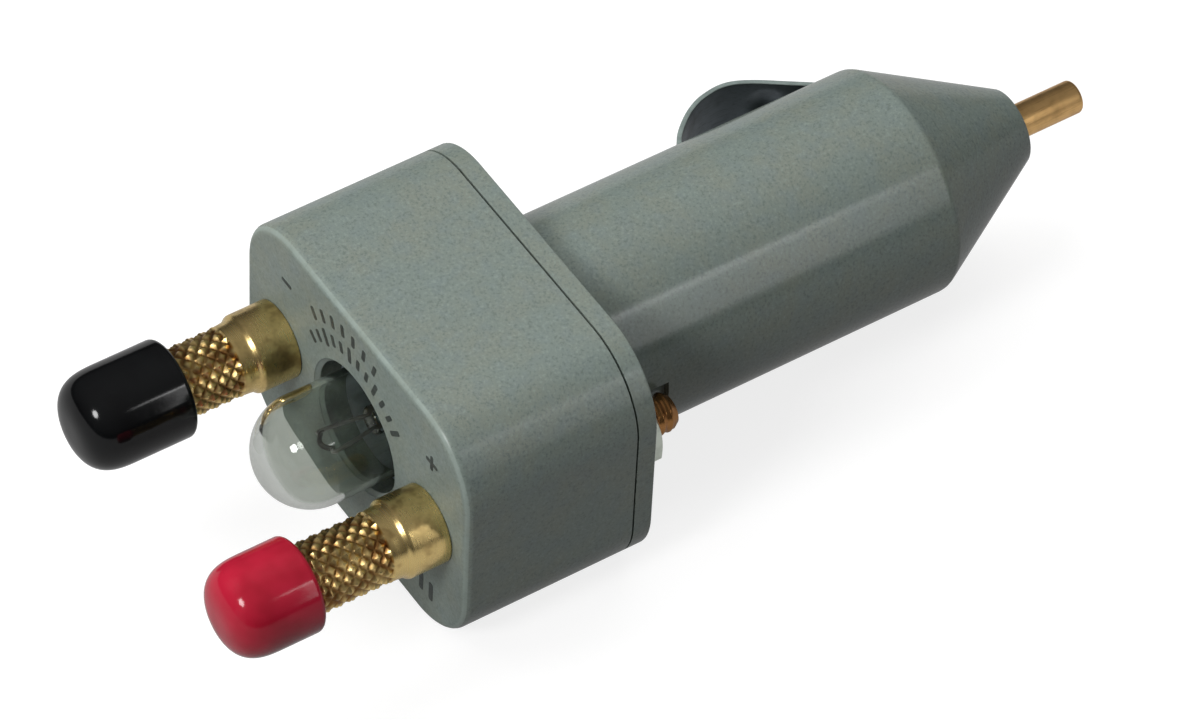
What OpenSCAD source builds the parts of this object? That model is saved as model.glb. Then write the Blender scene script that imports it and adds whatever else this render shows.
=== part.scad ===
// Plug-in circuit tester for a vehicle's 12 volt outlet.
// A grey head carries a clear lamp between two knurled test posts, each with a vinyl cap.
// A round plug stands out of its back, with a sprung centre pin and a bowed side contact.
// Millimetres. Y runs along the plug towards the pin, X runs from the black post to the red one,
// Z is up, and the origin is on the plug's axis at the back face of the cover plate.

/* [Head] */
// Width of the head, across the posts
head_w = 35; // [34.6:0.1:40]
// Height of the head
head_h = 25.7; // [24.6:0.1:32]
// Depth of the head shell, without the cover plate
head_d = 16.9; // [16:0.1:20]
// Radius of the head's four long corners
head_corner = 7.2; // [5:0.1:8]
// Rounding of the front edge
front_round = 0.8; // [0.4:0.1:1.6]
// Thickness of the head's side walls
head_wall = 2; // [1.6:0.1:2.2]
// Thickness of the head's front wall
front_wall = 2.5; // [1.8:0.1:3]
// Diameter of the lamp's hole in the front
lamp_hole_d = 12.1; // [11.6:0.1:12.6]
// Distance of each post's axis from the head's side
post_side = 5.6; // [5.4:0.1:5.8]

/* [Plug] */
// Thickness of the cover plate
plate_t = 1.8; // [1.4:0.1:2.6]
// Diameter of the plug's barrel
barrel_d = 21; // [20.4:0.1:21.4]
// Length of the barrel, from the cover plate to the nose
barrel_l = 36; // [32:0.5:42]
// Length of the conical nose
nose_l = 12.4; // [10:0.1:16]
// Diameter of the nose's flat end
nose_end_d = 6.9; // [6.2:0.1:9]
// Bore of the barrel around the inner tube
barrel_bore_d = 14.2; // [13.6:0.1:14.4]
// Bore of the tube that guides the centre pin's spring
tube_bore_d = 6.4; // [6.2:0.1:6.8]
// Outside of the tube that guides the spring
tube_d = 8.8; // [8:0.1:9.4]
// Width of the slot for the side contact
slot_w = 6.8; // [6.4:0.1:8]

/* [Centre pin] */
// Diameter of the centre pin's free end
pin_d = 3.1; // [2.6:0.1:3.8]
// Diameter of the centre pin where the nose guides it
pin_guide_d = 3.5; // [3.4:0.1:4]
// How far the pin stands out of the nose
pin_out = 7.2; // [5.5:0.1:10]
// Diameter of the pin's shoulder, which stops it inside the nose
pin_shoulder_d = 5.9; // [5:0.1:6]
// Diameter of the spring's wire
spring_wire_d = 0.55; // [0.35:0.05:0.7]
// Outside diameter of the spring
spring_d = 5.6; // [5.4:0.1:6]
// Number of turns in the spring
spring_turns = 19; // [12:1:26]

/* [Side contact] */
// Width of the side contact
leaf_w = 6; // [5:0.1:6.4]
// Thickness of the side contact
leaf_t = 0.45; // [0.3:0.05:0.6]
// How far the side contact's crown stands from the plug's axis
leaf_crown = 15; // [12.5:0.1:16]

/* [Posts] */
// Diameter of the smooth collar at the foot of a post
collar_d = 7.2; // [6.4:0.1:8.4]
// Length of the collar
collar_l = 3.5; // [2:0.1:5]
// Diameter over the knurl
knurl_d = 6.4; // [6:0.1:6.8]
// How far a post stands out of the head
post_l = 17.6; // [15:0.1:22]
// Number of knurl points round a post
knurl_around = 18; // [14:1:24]
// Length of one knurl point along the post
knurl_pitch = 1.15; // [0.8:0.05:1.6]
// Diameter of the threaded stud
stud_d = 3.5; // [3:0.1:4]
// How far the stud stands out of the cover plate
stud_out = 5.2; // [3.5:0.1:5.6]

/* [Caps] */
// Diameter of the black cap
black_cap_d = 9; // [8.4:0.1:10]
// Diameter of the red cap
red_cap_d = 8.7; // [8.4:0.1:10]
// Length of the black cap
black_cap_l = 9.9; // [7:0.1:12]
// Length of the red cap
red_cap_l = 8; // [7:0.1:12]
// How far a cap's round end stands beyond its post
cap_end_t = 2.9; // [2.4:0.1:4]

/* [Lamp] */
// Diameter of the lamp's glass
bulb_d = 10.1; // [9.4:0.1:10.6]
// How far the glass stands out of the head
bulb_out = 9.4; // [8:0.1:10.2]
// Length of the lamp, from its dome to its end contact
bulb_l = 27; // [26:0.1:28]
// Diameter of the lamp's metal base
base_d = 9.2; // [8.9:0.1:9.4]

/* [Hidden] */
$fn = 64;

// Colours
grey = "#7d837f";
brass = "#b9923f";
copper = "#9a6a3a";
nickel = "#b7b9b4";
steel = "#8d9092";
fibre = "#5a3a2a";
black = "#1d1e20";
red = "#a5202c";
clear = [0.85, 0.9, 0.9, 0.35];

// Clearances
eps = 0.02;              // overlap that keeps a cut clean
past = 1;                // how far a cut runs past a face
seat_gap = 0.02;         // between flat faces that bear on each other
slide_gap = 0.15;        // radial room of a loose sliding fit
pin_gap = 0.06;          // radial room of the pin's guide in the nose
cap_gap = 0.05;          // radial room between a cap and the knurl's points
part_gap = 0.4;          // air between strips and the pieces that they pass
seam_w = 0.2;            // width of the shadow line between head and cover plate
seam_depth = 0.8;        // depth of that line
edge = 0.3;              // broken edge of a turned or moulded end

// Places along the plug
y_plate = -plate_t;
y_front = y_plate - head_d;
y_inner_front = y_front + front_wall;
y_end = barrel_l + nose_l;
y_pin_tip = y_end + pin_out;
y_bulb_dome = y_front - bulb_out;
y_bulb_tip = y_bulb_dome + bulb_l;

// Head
post_x = head_w / 2 - post_side;
round_steps = 5;
hole_edge = 0.4;

// Plug body
lip_l = 1.5;
lip_t = 1.2;
bore_end_t = 2;
bore_end_y = barrel_l - bore_end_t;
tube_start = 1.4;
nose_wall = 3.2;
y_tube_end = y_end - nose_wall;
slot_l = 19.2;
slot_past = 1.4;
slot_end = barrel_l + slot_past;
slot_start = slot_end - slot_l;
slot_floor = 8.2;
slot_tube_gap = 1;

// Nuts, of the small pattern for the studs
nut_af = 6.35;
nut_t = 2.4;
rear_nut_turn = 15;
inner_nut_turn = 30;
nut_corner_d = nut_af / cos(30);
washer_d = 6.2;
washer_t = 0.5;
stud_hole_d = stud_d + 2 * slide_gap;
pocket_gap = 0.23;
pocket_end_gap = 0.5;
groove_gap = 0.35;
groove_end_gap = 0.8;

// Lamp
glass_t = 0.5;
neck_d = 8.2;
neck_taper_l = 2.1;
glass_l = 15.2;
glass_in_base = 1.4;
y_base = y_bulb_dome + glass_l;
base_end_l = 1.9;
y_base_end = y_bulb_tip - base_end_l;
base_end_t = 1;
insulator_d = 6;
insulator_rim_d = 7.2;
tip_d = 3.8;
tip_l = 0.9;
tip_crown_d = 1.6;
stem_d = 2.6;
stem_l = 4.4;
stem_foot_l = 1.3;
y_stem = y_base - stem_l;
lead_d = 0.4;
lead_gap = 2.6;
lead_foot_gap = 1.2;
lead_l = 4.2;
y_lead = y_stem - lead_l;
filament_coils = 14;
filament_coil_r = 0.22;
filament_wire_r = 0.05;
filament_rise = 0.7;

// Lamp socket, whose wide mouth lets the glass and the bayonet pins through
socket_t = 0.4;
mouth_d = lamp_hole_d + 2 * socket_t;
socket_bore_d = base_d + 0.5;
socket_d = socket_bore_d + 2 * socket_t;
mouth_rim = 0.6;
bayonet_pin_d = 1.6;
bayonet_stand = 1;
bayonet_l = 4.9;
bayonet_y = y_base + bayonet_l;
bayonet_slot_w = 1.9;
bayonet_slot_turn = 22;
bayonet_turn = 24;

// Strips: one lies on the front wall, the other on the cover plate and on into the barrel
strip_t = 0.4;
strip_w = 4;
strip_end_l = 2.2;
ring_d = 6.6;
cup_wall = 0.7;
y_bracket = y_inner_front + seat_gap;
y_strip = y_plate - seat_gap - strip_t;
strip_x = tube_d / 2 + cup_wall + part_gap + strip_t;

// Button between the lamp and the spring
button_flange_d = 5.8;
button_flange_t = 1;
button_nose_d = 2.4;
button_nose_edge = 0.4;
spigot_d = 3.6;
button_spigot_l = 2.9;
y_button = tube_start + seat_gap;
cup_l = 5;
cup_end_t = 1;

// Centre pin
shoulder_t = 1;
pin_spigot_l = 3.2;
pin_end_round = 0.35;
y_shoulder = y_tube_end - seat_gap;
y_spring_seat = y_shoulder - shoulder_t;
coil_r = (spring_d - spring_wire_d) / 2;
y_coil_start = y_button + button_flange_t + spring_wire_d / 2 + seat_gap;
y_coil_end = y_spring_seat - spring_wire_d / 2 - seat_gap;

// Side contact: its foot lies on the ground strip and its bow stands out of the slot
leaf_foot_x = strip_x + seat_gap + leaf_t / 2;
leaf_end_gap = 0.5;
leaf_foot_y = slot_start + leaf_end_gap;
leaf_foot_l = 1.1;
leaf_bow_y = leaf_foot_y + leaf_foot_l;
leaf_bow_l = slot_end - leaf_end_gap - leaf_bow_y;
leaf_rise = leaf_crown - leaf_t / 2 - leaf_foot_x;
dimple_turn = 28;
dimple_d = 2.6;
dimple_end_d = 1.4;
dimple_h = 0.4;

// Post
neck_l = 1.6;
neck_cone_d = 6.1;
core_d = 4.6;
knurl_depth = 0.28;
knurl_start = collar_l + neck_l;
stud_edge = 0.4;
cap_rim = 0.5;

// Turns a shape drawn along +Z so that it runs along +Y from the given place
module along_y(y) {
    translate([0, y, 0])
        rotate([-90, 0, 0])
            children();
}

// Copies a shape to both posts
module at_posts() {
    for (side = [-1, 1])
        translate([side * post_x, 0, 0])
            children();
}

// Outline of the head, drawn in by the given amount
module head_outline(inset) {
    r = head_corner - inset;
    w = head_w - 2 * inset;
    h = head_h - 2 * inset;
    square([w - 2 * r, h], center = true);
    square([w, h - 2 * r], center = true);
    for (sx = [-1, 1], sz = [-1, 1])
        translate([sx * (w / 2 - r), sz * (h / 2 - r)])
            circle(r = r);
}

// A length of the head's section
module head_block(y, length, inset) {
    along_y(y)
        linear_extrude(length)
            head_outline(inset);
}

// Rounded front edge as points across and back, for a face that ends at the given distance
function edge_points(reach) = [
    for (i = [0 : round_steps])
        let (turn = 90 * i / round_steps)
            [reach - front_round * (1 - sin(turn)), front_round * (1 - cos(turn))]];

// Straight stretch of the head, rounded at both front edges
module head_slice(width, length, depth) {
    line = edge_points(width / 2);
    linear_extrude(length, center = true)
        polygon(concat(line, [[width / 2, depth], [-width / 2, depth]],
            [for (i = [round_steps : -1 : 0]) [-line[i][0], line[i][1]]]));
}

// Quarter of a round corner with the same rounded edge
module head_quarter(depth) {
    rotate_extrude(angle = 90)
        polygon(concat([[0, 0]], edge_points(head_corner), [[head_corner, depth], [0, depth]]));
}

// Solid head with its rounded front edge, set back at the rear rim for the shadow line
module head_blank() {
    depth = head_d - seam_w;
    corner_x = head_w / 2 - head_corner;
    corner_z = head_h / 2 - head_corner;
    translate([0, y_front, 0]) {
        head_slice(head_w, 2 * corner_z, depth);
        rotate([0, 90, 0]) head_slice(head_h, 2 * corner_x, depth);
        for (k = [0 : 3])
            translate([(k == 0 || k == 3 ? 1 : -1) * corner_x, 0, (k < 2 ? -1 : 1) * corner_z])
                along_y(0)
                    rotate(90 * k)
                        head_quarter(depth);
    }
    head_block(y_plate - past, past, seam_depth);
}

module head_shell() color(grey) difference() {
    head_blank();
    head_block(y_inner_front, head_d, head_wall);
    along_y(y_front - past) cylinder(d = lamp_hole_d, h = front_wall + 2 * past);
    along_y(y_front - eps)
        cylinder(d1 = lamp_hole_d + 2 * hole_edge, d2 = lamp_hole_d - 2 * eps, h = hole_edge + eps);
    at_posts() along_y(y_front - past) cylinder(d = stud_hole_d, h = front_wall + 2 * past);
}

// Barrel and nose in one turn
module plug_outside() {
    along_y(-eps) rotate_extrude() polygon([
        [0, 0], [barrel_d / 2, 0], [barrel_d / 2, barrel_l + eps],
        [nose_end_d / 2 + edge, y_end - edge + eps], [nose_end_d / 2, y_end + eps], [0, y_end + eps]]);
}

// Hollow of the plug, which leaves the inner tube standing
module plug_inside() {
    difference() {
        along_y(y_plate - past) cylinder(d = barrel_bore_d, h = bore_end_y - y_plate + past);
        along_y(tube_start) cylinder(d = tube_d, h = barrel_l);
    }
    along_y(y_plate - past) cylinder(d = tube_bore_d, h = y_tube_end - y_plate + past);
    along_y(y_tube_end - past) cylinder(d = pin_guide_d + 2 * pin_gap, h = nose_wall + 2 * past);
}

// Room for the rear nuts and stud ends, cut into the root of the barrel
module stud_room() {
    at_posts() {
        along_y(0) cylinder(d = nut_corner_d + 2 * pocket_gap, h = nut_t + pocket_end_gap);
        along_y(0) cylinder(d = stud_d + 2 * groove_gap, h = stud_out + groove_end_gap);
        along_y(y_plate - past) cylinder(d = stud_hole_d, h = plate_t + 2 * past);
    }
}

// Slot that takes the side contact, open into the barrel and closed towards the nose
module contact_slot() {
    translate([-barrel_d, slot_start, -slot_w / 2])
        cube([barrel_d - slot_floor, slot_l, slot_w]);
    translate([-barrel_d, slot_start, -slot_w / 2])
        cube([barrel_d - tube_d / 2 - slot_tube_gap, bore_end_y - slot_start, slot_w]);
}

module plug_body() color(grey) difference() {
    union() {
        head_block(y_plate, plate_t, 0);
        difference() {
            head_block(y_plate - lip_l, lip_l + eps, head_wall + slide_gap);
            head_block(y_plate - lip_l - past, lip_l + past, head_wall + slide_gap + lip_t);
            translate([-head_w / 2, y_plate - lip_l - past, -nut_corner_d / 2 - part_gap])
                cube([head_w, lip_l + past, nut_corner_d + 2 * part_gap]);
        }
        plug_outside();
    }
    plug_inside();
    stud_room();
    contact_slot();
}

module centre_pin() color(copper) along_y(0) rotate_extrude() polygon([
    [0, y_spring_seat - pin_spigot_l],
    [spigot_d / 2 - edge, y_spring_seat - pin_spigot_l],
    [spigot_d / 2, y_spring_seat - pin_spigot_l + edge],
    [spigot_d / 2, y_spring_seat],
    [pin_shoulder_d / 2, y_spring_seat],
    [pin_shoulder_d / 2, y_shoulder],
    [pin_guide_d / 2, y_shoulder],
    [pin_guide_d / 2, y_end],
    [pin_d / 2, y_end],
    [pin_d / 2, y_pin_tip - pin_end_round],
    [pin_d / 2 - pin_end_round / 3, y_pin_tip - pin_end_round / 3],
    [pin_d / 2 - pin_end_round, y_pin_tip],
    [0, y_pin_tip]]);

// Round wire swept along the coil, with its ends closed
module pin_spring() color(steel) {
    per_turn = 16;
    sides = 6;
    count = spring_turns * per_turn;
    wire_r = spring_wire_d / 2;
    points = [for (i = [0 : count])
        let (a = 360 * i / per_turn, y = y_coil_start + (y_coil_end - y_coil_start) * i / count)
            for (k = [0 : sides - 1])
                let (b = 360 * k / sides, r = coil_r + wire_r * cos(b))
                    [r * cos(a), y + wire_r * sin(b), r * sin(a)]];
    walls = [for (i = [0 : count - 1]) for (k = [0 : sides - 1])
        let (n = (k + 1) % sides)
            [i * sides + k, i * sides + n, (i + 1) * sides + n, (i + 1) * sides + k]];
    start = [for (k = [sides - 1 : -1 : 0]) k];
    finish = [for (k = [0 : sides - 1]) count * sides + k];
    polyhedron(points, concat(walls, [start, finish]));
}

module spring_button() color(brass) along_y(0) rotate_extrude() polygon([
    [0, y_bulb_tip + seat_gap],
    [button_nose_d / 2 - button_nose_edge, y_bulb_tip + seat_gap],
    [button_nose_d / 2, y_bulb_tip + seat_gap + button_nose_edge],
    [button_nose_d / 2, y_button],
    [button_flange_d / 2, y_button],
    [button_flange_d / 2, y_button + button_flange_t],
    [spigot_d / 2, y_button + button_flange_t],
    [spigot_d / 2, y_button + button_flange_t + button_spigot_l],
    [0, y_button + button_flange_t + button_spigot_l]]);

// Insulating cup pushed over the end of the inner tube, which keeps the button in
module button_cap() color(fibre) difference() {
    along_y(tube_start - cup_end_t) cylinder(d = tube_d + 2 * cup_wall, h = cup_l);
    along_y(tube_start) cylinder(d = tube_d + 2 * seat_gap, h = cup_l);
    along_y(tube_start - cup_end_t - past)
        cylinder(d = button_nose_d + 2 * slide_gap, h = cup_end_t + 2 * past);
}

// Points beside a line, at the given distance on one side, mitred at its bends
function beside(line, reach) = [
    for (i = [0 : len(line) - 1])
        let (back = i == 0 ? line[1] - line[0] : line[i] - line[i - 1],
             ahead = i == len(line) - 1 ? back : line[i + 1] - line[i],
             across = back / norm(back) + ahead / norm(ahead),
             out = [-across[1], across[0]] / norm(across),
             square_out = [-back[1], back[0]] / norm(back))
                line[i] + out * reach / (out * square_out)];

// Flat band of the given thickness along a line of points
module band(line, t) {
    left = beside(line, t / 2);
    right = beside(line, -t / 2);
    polygon(concat(left, [for (i = [len(right) - 1 : -1 : 0]) right[i]]));
}

// Point of the side contact's bow, for a share of its length and one of its rise to the crown
function bow_point(along, out) = [
    -leaf_foot_x - out * leaf_rise,
    leaf_bow_y + along * leaf_bow_l];

module side_contact() color(nickel) {
    bow = [[0, 0], [0.03, 0.22], [0.06, 0.49], [0.1, 0.63], [0.16, 0.75], [0.24, 0.87],
           [0.32, 0.95], [0.39, 0.985], [0.46, 1], [0.52, 0.985], [0.58, 0.94], [0.66, 0.85],
           [0.77, 0.7], [0.88, 0.55], [0.97, 0.42], [0.99, 0.38], [1, 0.32]];
    dimple = bow_point(0.62, 0.895);
    line = concat([[-leaf_foot_x, leaf_foot_y]], [for (p = bow) bow_point(p[0], p[1])]);
    translate([0, 0, -leaf_w / 2])
        linear_extrude(leaf_w)
            band(line, leaf_t);
    translate([dimple[0], dimple[1], 0])
        rotate([0, -90, dimple_turn])
            cylinder(d1 = dimple_d, d2 = dimple_end_d, h = leaf_t / 2 + dimple_h);
}

// Flat ring and strip that leave a stud and run towards the plug's axis
module tab(side, y, length) {
    translate([side * post_x, 0, 0])
        along_y(y) cylinder(d = ring_d, h = strip_t);
    translate([side > 0 ? post_x - length : -post_x, y, -strip_w / 2])
        cube([length, strip_t, strip_w]);
}

// Hole for a stud through a tab
module tab_hole(side, y) {
    translate([side * post_x, 0, 0])
        along_y(y - past) cylinder(d = stud_hole_d, h = strip_t + 2 * past);
}

// Strip from the black post's stud, across the cover plate, to the foot of the side contact
module ground_strip() color(brass) {
    difference() {
        tab(-1, y_strip, post_x - strip_x + strip_t);
        tab_hole(-1, y_strip);
    }
    translate([-strip_x, y_strip, -strip_w / 2])
        cube([strip_t, slot_start + strip_end_l - y_strip, strip_w]);
}

// Flat bracket that joins the lamp socket's mouth to the red post's stud
module lamp_bracket() color(brass) difference() {
    union() {
        along_y(y_bracket) cylinder(d = mouth_d + 2 * mouth_rim, h = strip_t);
        tab(1, y_bracket, post_x);
    }
    along_y(y_bracket - past) cylinder(d = mouth_d + 2 * seat_gap, h = strip_t + 2 * past);
    tab_hole(1, y_bracket);
}

// Cut through the socket's wall over part of a turn, between two places along it
module socket_cut(from, turn, y_start, y_stop) {
    reach = base_d / 2 + bayonet_stand + slide_gap;
    along_y(y_start)
        rotate(from - bayonet_slot_turn / 2)
            rotate_extrude(angle = turn + bayonet_slot_turn)
                translate([base_d / 2 - bayonet_stand, 0])
                    square([reach - base_d / 2 + bayonet_stand, y_stop - y_start]);
}

// Drawn shell with a wide mouth and two hooked slots for the lamp's bayonet pins
module lamp_socket() color(brass) difference() {
    slot_y = bayonet_y - bayonet_slot_w / 2;
    slot_end_y = bayonet_y + bayonet_slot_w / 2;
    along_y(0) rotate_extrude() polygon([
        [mouth_d / 2, y_bracket], [mouth_d / 2, y_base],
        [socket_d / 2, y_base], [socket_d / 2, y_base_end],
        [socket_bore_d / 2, y_base_end], [socket_bore_d / 2, y_base - socket_t],
        [mouth_d / 2 - socket_t, y_base - socket_t], [mouth_d / 2 - socket_t, y_bracket]]);
    for (side = [-90, 90]) {
        socket_cut(side, bayonet_turn, slot_y, slot_end_y);
        socket_cut(side + bayonet_turn, 0, y_base - socket_t - past, slot_end_y);
    }
}

// Outside of the glass, or its inside when drawn in by the wall
module glass_form(inset, run_out) {
    r = bulb_d / 2 - inset;
    neck_r = neck_d / 2 - inset;
    body_l = glass_l - neck_taper_l;
    translate([0, 0, bulb_d / 2]) intersection() {
        sphere(r = r);
        translate([0, 0, -bulb_d / 2]) cube([bulb_d, bulb_d, bulb_d + eps], center = true);
    }
    translate([0, 0, bulb_d / 2 - eps]) cylinder(r = r, h = body_l - bulb_d / 2 + 2 * eps);
    translate([0, 0, body_l]) cylinder(r1 = r, r2 = neck_r, h = neck_taper_l);
    translate([0, 0, glass_l - eps]) cylinder(r = neck_r, h = glass_in_base + run_out + eps);
}

// Blown envelope with its thin wall, round dome and drawn-in neck
module bulb_glass() color(clear) along_y(y_bulb_dome) difference() {
    glass_form(0, 0);
    glass_form(glass_t, past);
}

// One lead, from inside the stem up to the filament
module bulb_lead(side, d) {
    foot = [side * lead_foot_gap / 2, y_stem + stem_foot_l, 0];
    top = [side * lead_gap / 2, y_lead, 0];
    lean = atan2(top[0] - foot[0], foot[1] - top[1]);
    translate(foot)
        rotate([0, 0, lean])
            along_y(-norm(top - foot))
                cylinder(d = d, h = norm(top - foot), $fn = 16);
}

module bulb_leads() color(steel)
    for (side = [-1, 1])
        bulb_lead(side, lead_d);

module bulb_stem() color(clear) difference() {
    along_y(0) rotate_extrude() polygon([
        [0, y_stem],
        [stem_d / 2 - 1.3 * edge, y_stem + edge],
        [stem_d / 2, y_stem + 4 * edge],
        [stem_d / 2, y_base - glass_in_base],
        [neck_d / 2 - glass_t - seat_gap, y_base + edge],
        [neck_d / 2 - glass_t - seat_gap, y_base + stem_foot_l],
        [0, y_base + stem_foot_l]]);
    for (side = [-1, 1])
        bulb_lead(side, lead_d + 2 * seat_gap);
}

// Coiled filament, hung in a low arch between the two leads
module bulb_filament() color(steel) {
    per_coil = 8;
    sides = 5;
    count = filament_coils * per_coil;
    reach = lead_gap / 2 - lead_d / 2 - seat_gap;
    points = [for (i = [0 : count])
        let (s = i / count, a = 360 * i / per_coil, x = reach * (2 * s - 1),
             y = y_lead + filament_coil_r - filament_rise * sin(180 * s))
            for (k = [0 : sides - 1])
                let (b = 360 * k / sides, r = filament_coil_r + filament_wire_r * cos(b))
                    [x + filament_wire_r * sin(b), y + r * cos(a), r * sin(a)]];
    walls = [for (i = [0 : count - 1]) for (k = [0 : sides - 1])
        let (n = (k + 1) % sides)
            [i * sides + k, (i + 1) * sides + k, (i + 1) * sides + n, i * sides + n]];
    start = [for (k = [0 : sides - 1]) k];
    finish = [for (k = [sides - 1 : -1 : 0]) count * sides + k];
    polyhedron(points, concat(walls, [start, finish]));
}

// Metal base with its closed end, a hole for the glass and two bayonet pins
module bulb_base() color(brass) {
    base_l = y_base_end - y_base;
    difference() {
        along_y(y_base) cylinder(d = base_d, h = base_l);
        along_y(y_base - past) cylinder(d = neck_d + 2 * seat_gap, h = base_l + past - base_end_t);
        along_y(y_base_end - base_end_t - past) cylinder(d = insulator_d, h = base_end_t + 2 * past);
    }
    for (side = [0, 180]) rotate([0, side, 0])
        translate([0, bayonet_y, base_d / 2 - edge])
            cylinder(d = bayonet_pin_d, h = bayonet_stand + edge);
}

module bulb_insulator() color(black) along_y(0) rotate_extrude() polygon([
    [0, y_base_end - base_end_t - edge],
    [insulator_d / 2 - seat_gap, y_base_end - base_end_t - edge],
    [insulator_d / 2 - seat_gap, y_base_end + seat_gap],
    [insulator_rim_d / 2, y_base_end + seat_gap],
    [tip_d / 2, y_bulb_tip - tip_l - seat_gap],
    [0, y_bulb_tip - tip_l - seat_gap]]);

module bulb_tip() color(nickel) along_y(0) rotate_extrude() polygon([
    [0, y_bulb_tip - tip_l],
    [tip_d / 2, y_bulb_tip - tip_l],
    [tip_d / 2, y_bulb_tip - tip_l / 2],
    [(tip_d + tip_crown_d) / 4, y_bulb_tip - tip_l / 8],
    [tip_crown_d / 2, y_bulb_tip],
    [0, y_bulb_tip]]);

// Knurled rod whose points and valleys alternate both round and along it
module knurled_rod(length) {
    rows = 2 * round(length / knurl_pitch);
    columns = 2 * knurl_around;
    points = concat(
        [for (j = [0 : rows]) for (i = [0 : columns - 1])
            let (r = knurl_d / 2 - ((i + j) % 2) * knurl_depth, a = 360 * i / columns)
                [r * cos(a), r * sin(a), length * j / rows]],
        [[0, 0, 0], [0, 0, length]]);
    foot = columns * (rows + 1);
    sides = [for (j = [0 : rows - 1]) for (i = [0 : columns - 1])
        let (n = (i + 1) % columns, a = j * columns + i, b = j * columns + n,
             c = (j + 1) * columns + n, d = (j + 1) * columns + i)
            each ((i + j) % 2 == 0 ? [[a, d, b], [b, d, c]] : [[a, c, b], [a, d, c]])];
    ends = [for (i = [0 : columns - 1])
        let (n = (i + 1) % columns)
            each [[foot, i, n], [foot + 1, rows * columns + n, rows * columns + i]]];
    polyhedron(points, concat(sides, ends));
}

// Post turned from one bar: knurled rod, neck and collar outside the head, stud through it
module post(x) color(brass) translate([x, 0, 0]) {
    y_collar = y_front - collar_l;
    y_neck = y_front - knurl_start;
    along_y(0) rotate_extrude() polygon([
        [0, y_neck - past],
        [core_d / 2, y_neck - past],
        [core_d / 2, y_neck],
        [neck_cone_d / 2, y_neck],
        [collar_d / 2, y_collar],
        [collar_d / 2, y_front],
        [stud_d / 2, y_front],
        [stud_d / 2, stud_out - stud_edge],
        [stud_d / 2 - stud_edge, stud_out],
        [0, stud_out]]);
    along_y(y_front - post_l)
        knurled_rod(post_l - knurl_start);
}

module black_post() post(-post_x);

module red_post() post(post_x);

// Soft cap with a round end, bored to slip over the knurl
module cap(x, d, length) {
    r = d / 2;
    bore_l = length - cap_end_t + cap_gap;
    translate([x, 0, 0]) along_y(y_front - post_l - cap_end_t) difference() {
        rotate_extrude() {
            intersection() {
                translate([0, r]) circle(r = r);
                square([r, r]);
            }
            translate([0, r - eps]) square([r, length - r - cap_rim + eps]);
            translate([0, length - cap_rim - eps]) square([r - cap_rim, cap_rim + eps]);
            intersection() {
                translate([r - cap_rim, length - cap_rim]) circle(r = cap_rim, $fn = 32);
                translate([r - cap_rim, length - cap_rim - eps]) square([cap_rim, cap_rim + eps]);
            }
        }
        translate([0, 0, length - bore_l]) cylinder(d = knurl_d + 2 * cap_gap, h = bore_l + past);
    }
}

module black_cap() color(black) cap(-post_x, black_cap_d, black_cap_l);

module red_cap() color(red) cap(post_x, red_cap_d, red_cap_l);

// Hexagon nut round a stud
module nut(y, turn) {
    along_y(y) difference() {
        rotate(turn) cylinder(d = nut_corner_d, h = nut_t, $fn = 6);
        translate([0, 0, -past]) cylinder(d = stud_d + 2 * seat_gap, h = nut_t + 2 * past);
    }
}

// Face of the front wall, or of the bracket that lies on it, under each post's washer
function washer_y(side) = y_bracket + (side > 0 ? strip_t + seat_gap : 0);

// Nuts that hold the posts to the front wall, and one that holds the strip to the cover plate
module inner_nuts() color(brass) {
    for (side = [-1, 1])
        translate([side * post_x, 0, 0])
            nut(washer_y(side) + washer_t + seat_gap, inner_nut_turn);
    translate([-post_x, 0, 0])
        nut(y_strip - seat_gap - nut_t, inner_nut_turn);
}

// Nuts that draw the cover plate and the head together
module rear_nuts() color(nickel) at_posts()
    nut(seat_gap, rear_nut_turn);

// Washers under the two inner nuts at the front wall
module lock_washers() color(steel)
    for (side = [-1, 1])
        translate([side * post_x, 0, 0])
            along_y(washer_y(side)) difference() {
                cylinder(d = washer_d, h = washer_t);
                translate([0, 0, -past]) cylinder(d = stud_hole_d, h = washer_t + 2 * past);
            }

head_shell();
plug_body();
centre_pin();
pin_spring();
spring_button();
button_cap();
side_contact();
ground_strip();
lamp_bracket();
lamp_socket();
bulb_glass();
bulb_stem();
bulb_leads();
bulb_filament();
bulb_base();
bulb_insulator();
bulb_tip();
black_post();
red_post();
black_cap();
red_cap();
inner_nuts();
rear_nuts();
lock_washers();
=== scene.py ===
"""Looks of a plug-in circuit tester for a vehicle's 12 volt outlet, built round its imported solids.

Sizes are millimetres in the classes and metres in the scene. Y runs along the plug towards its
pin, X runs from the black post to the red one, Z is up, and the origin is on the plug's axis at
the back face of the cover plate.
"""
import logging
import math
from contextlib import contextmanager
from dataclasses import dataclass, field
from enum import Enum
from typing import Any, Callable, Iterator, Sequence

import bmesh
import bpy
from mathutils import Matrix, Vector


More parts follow.
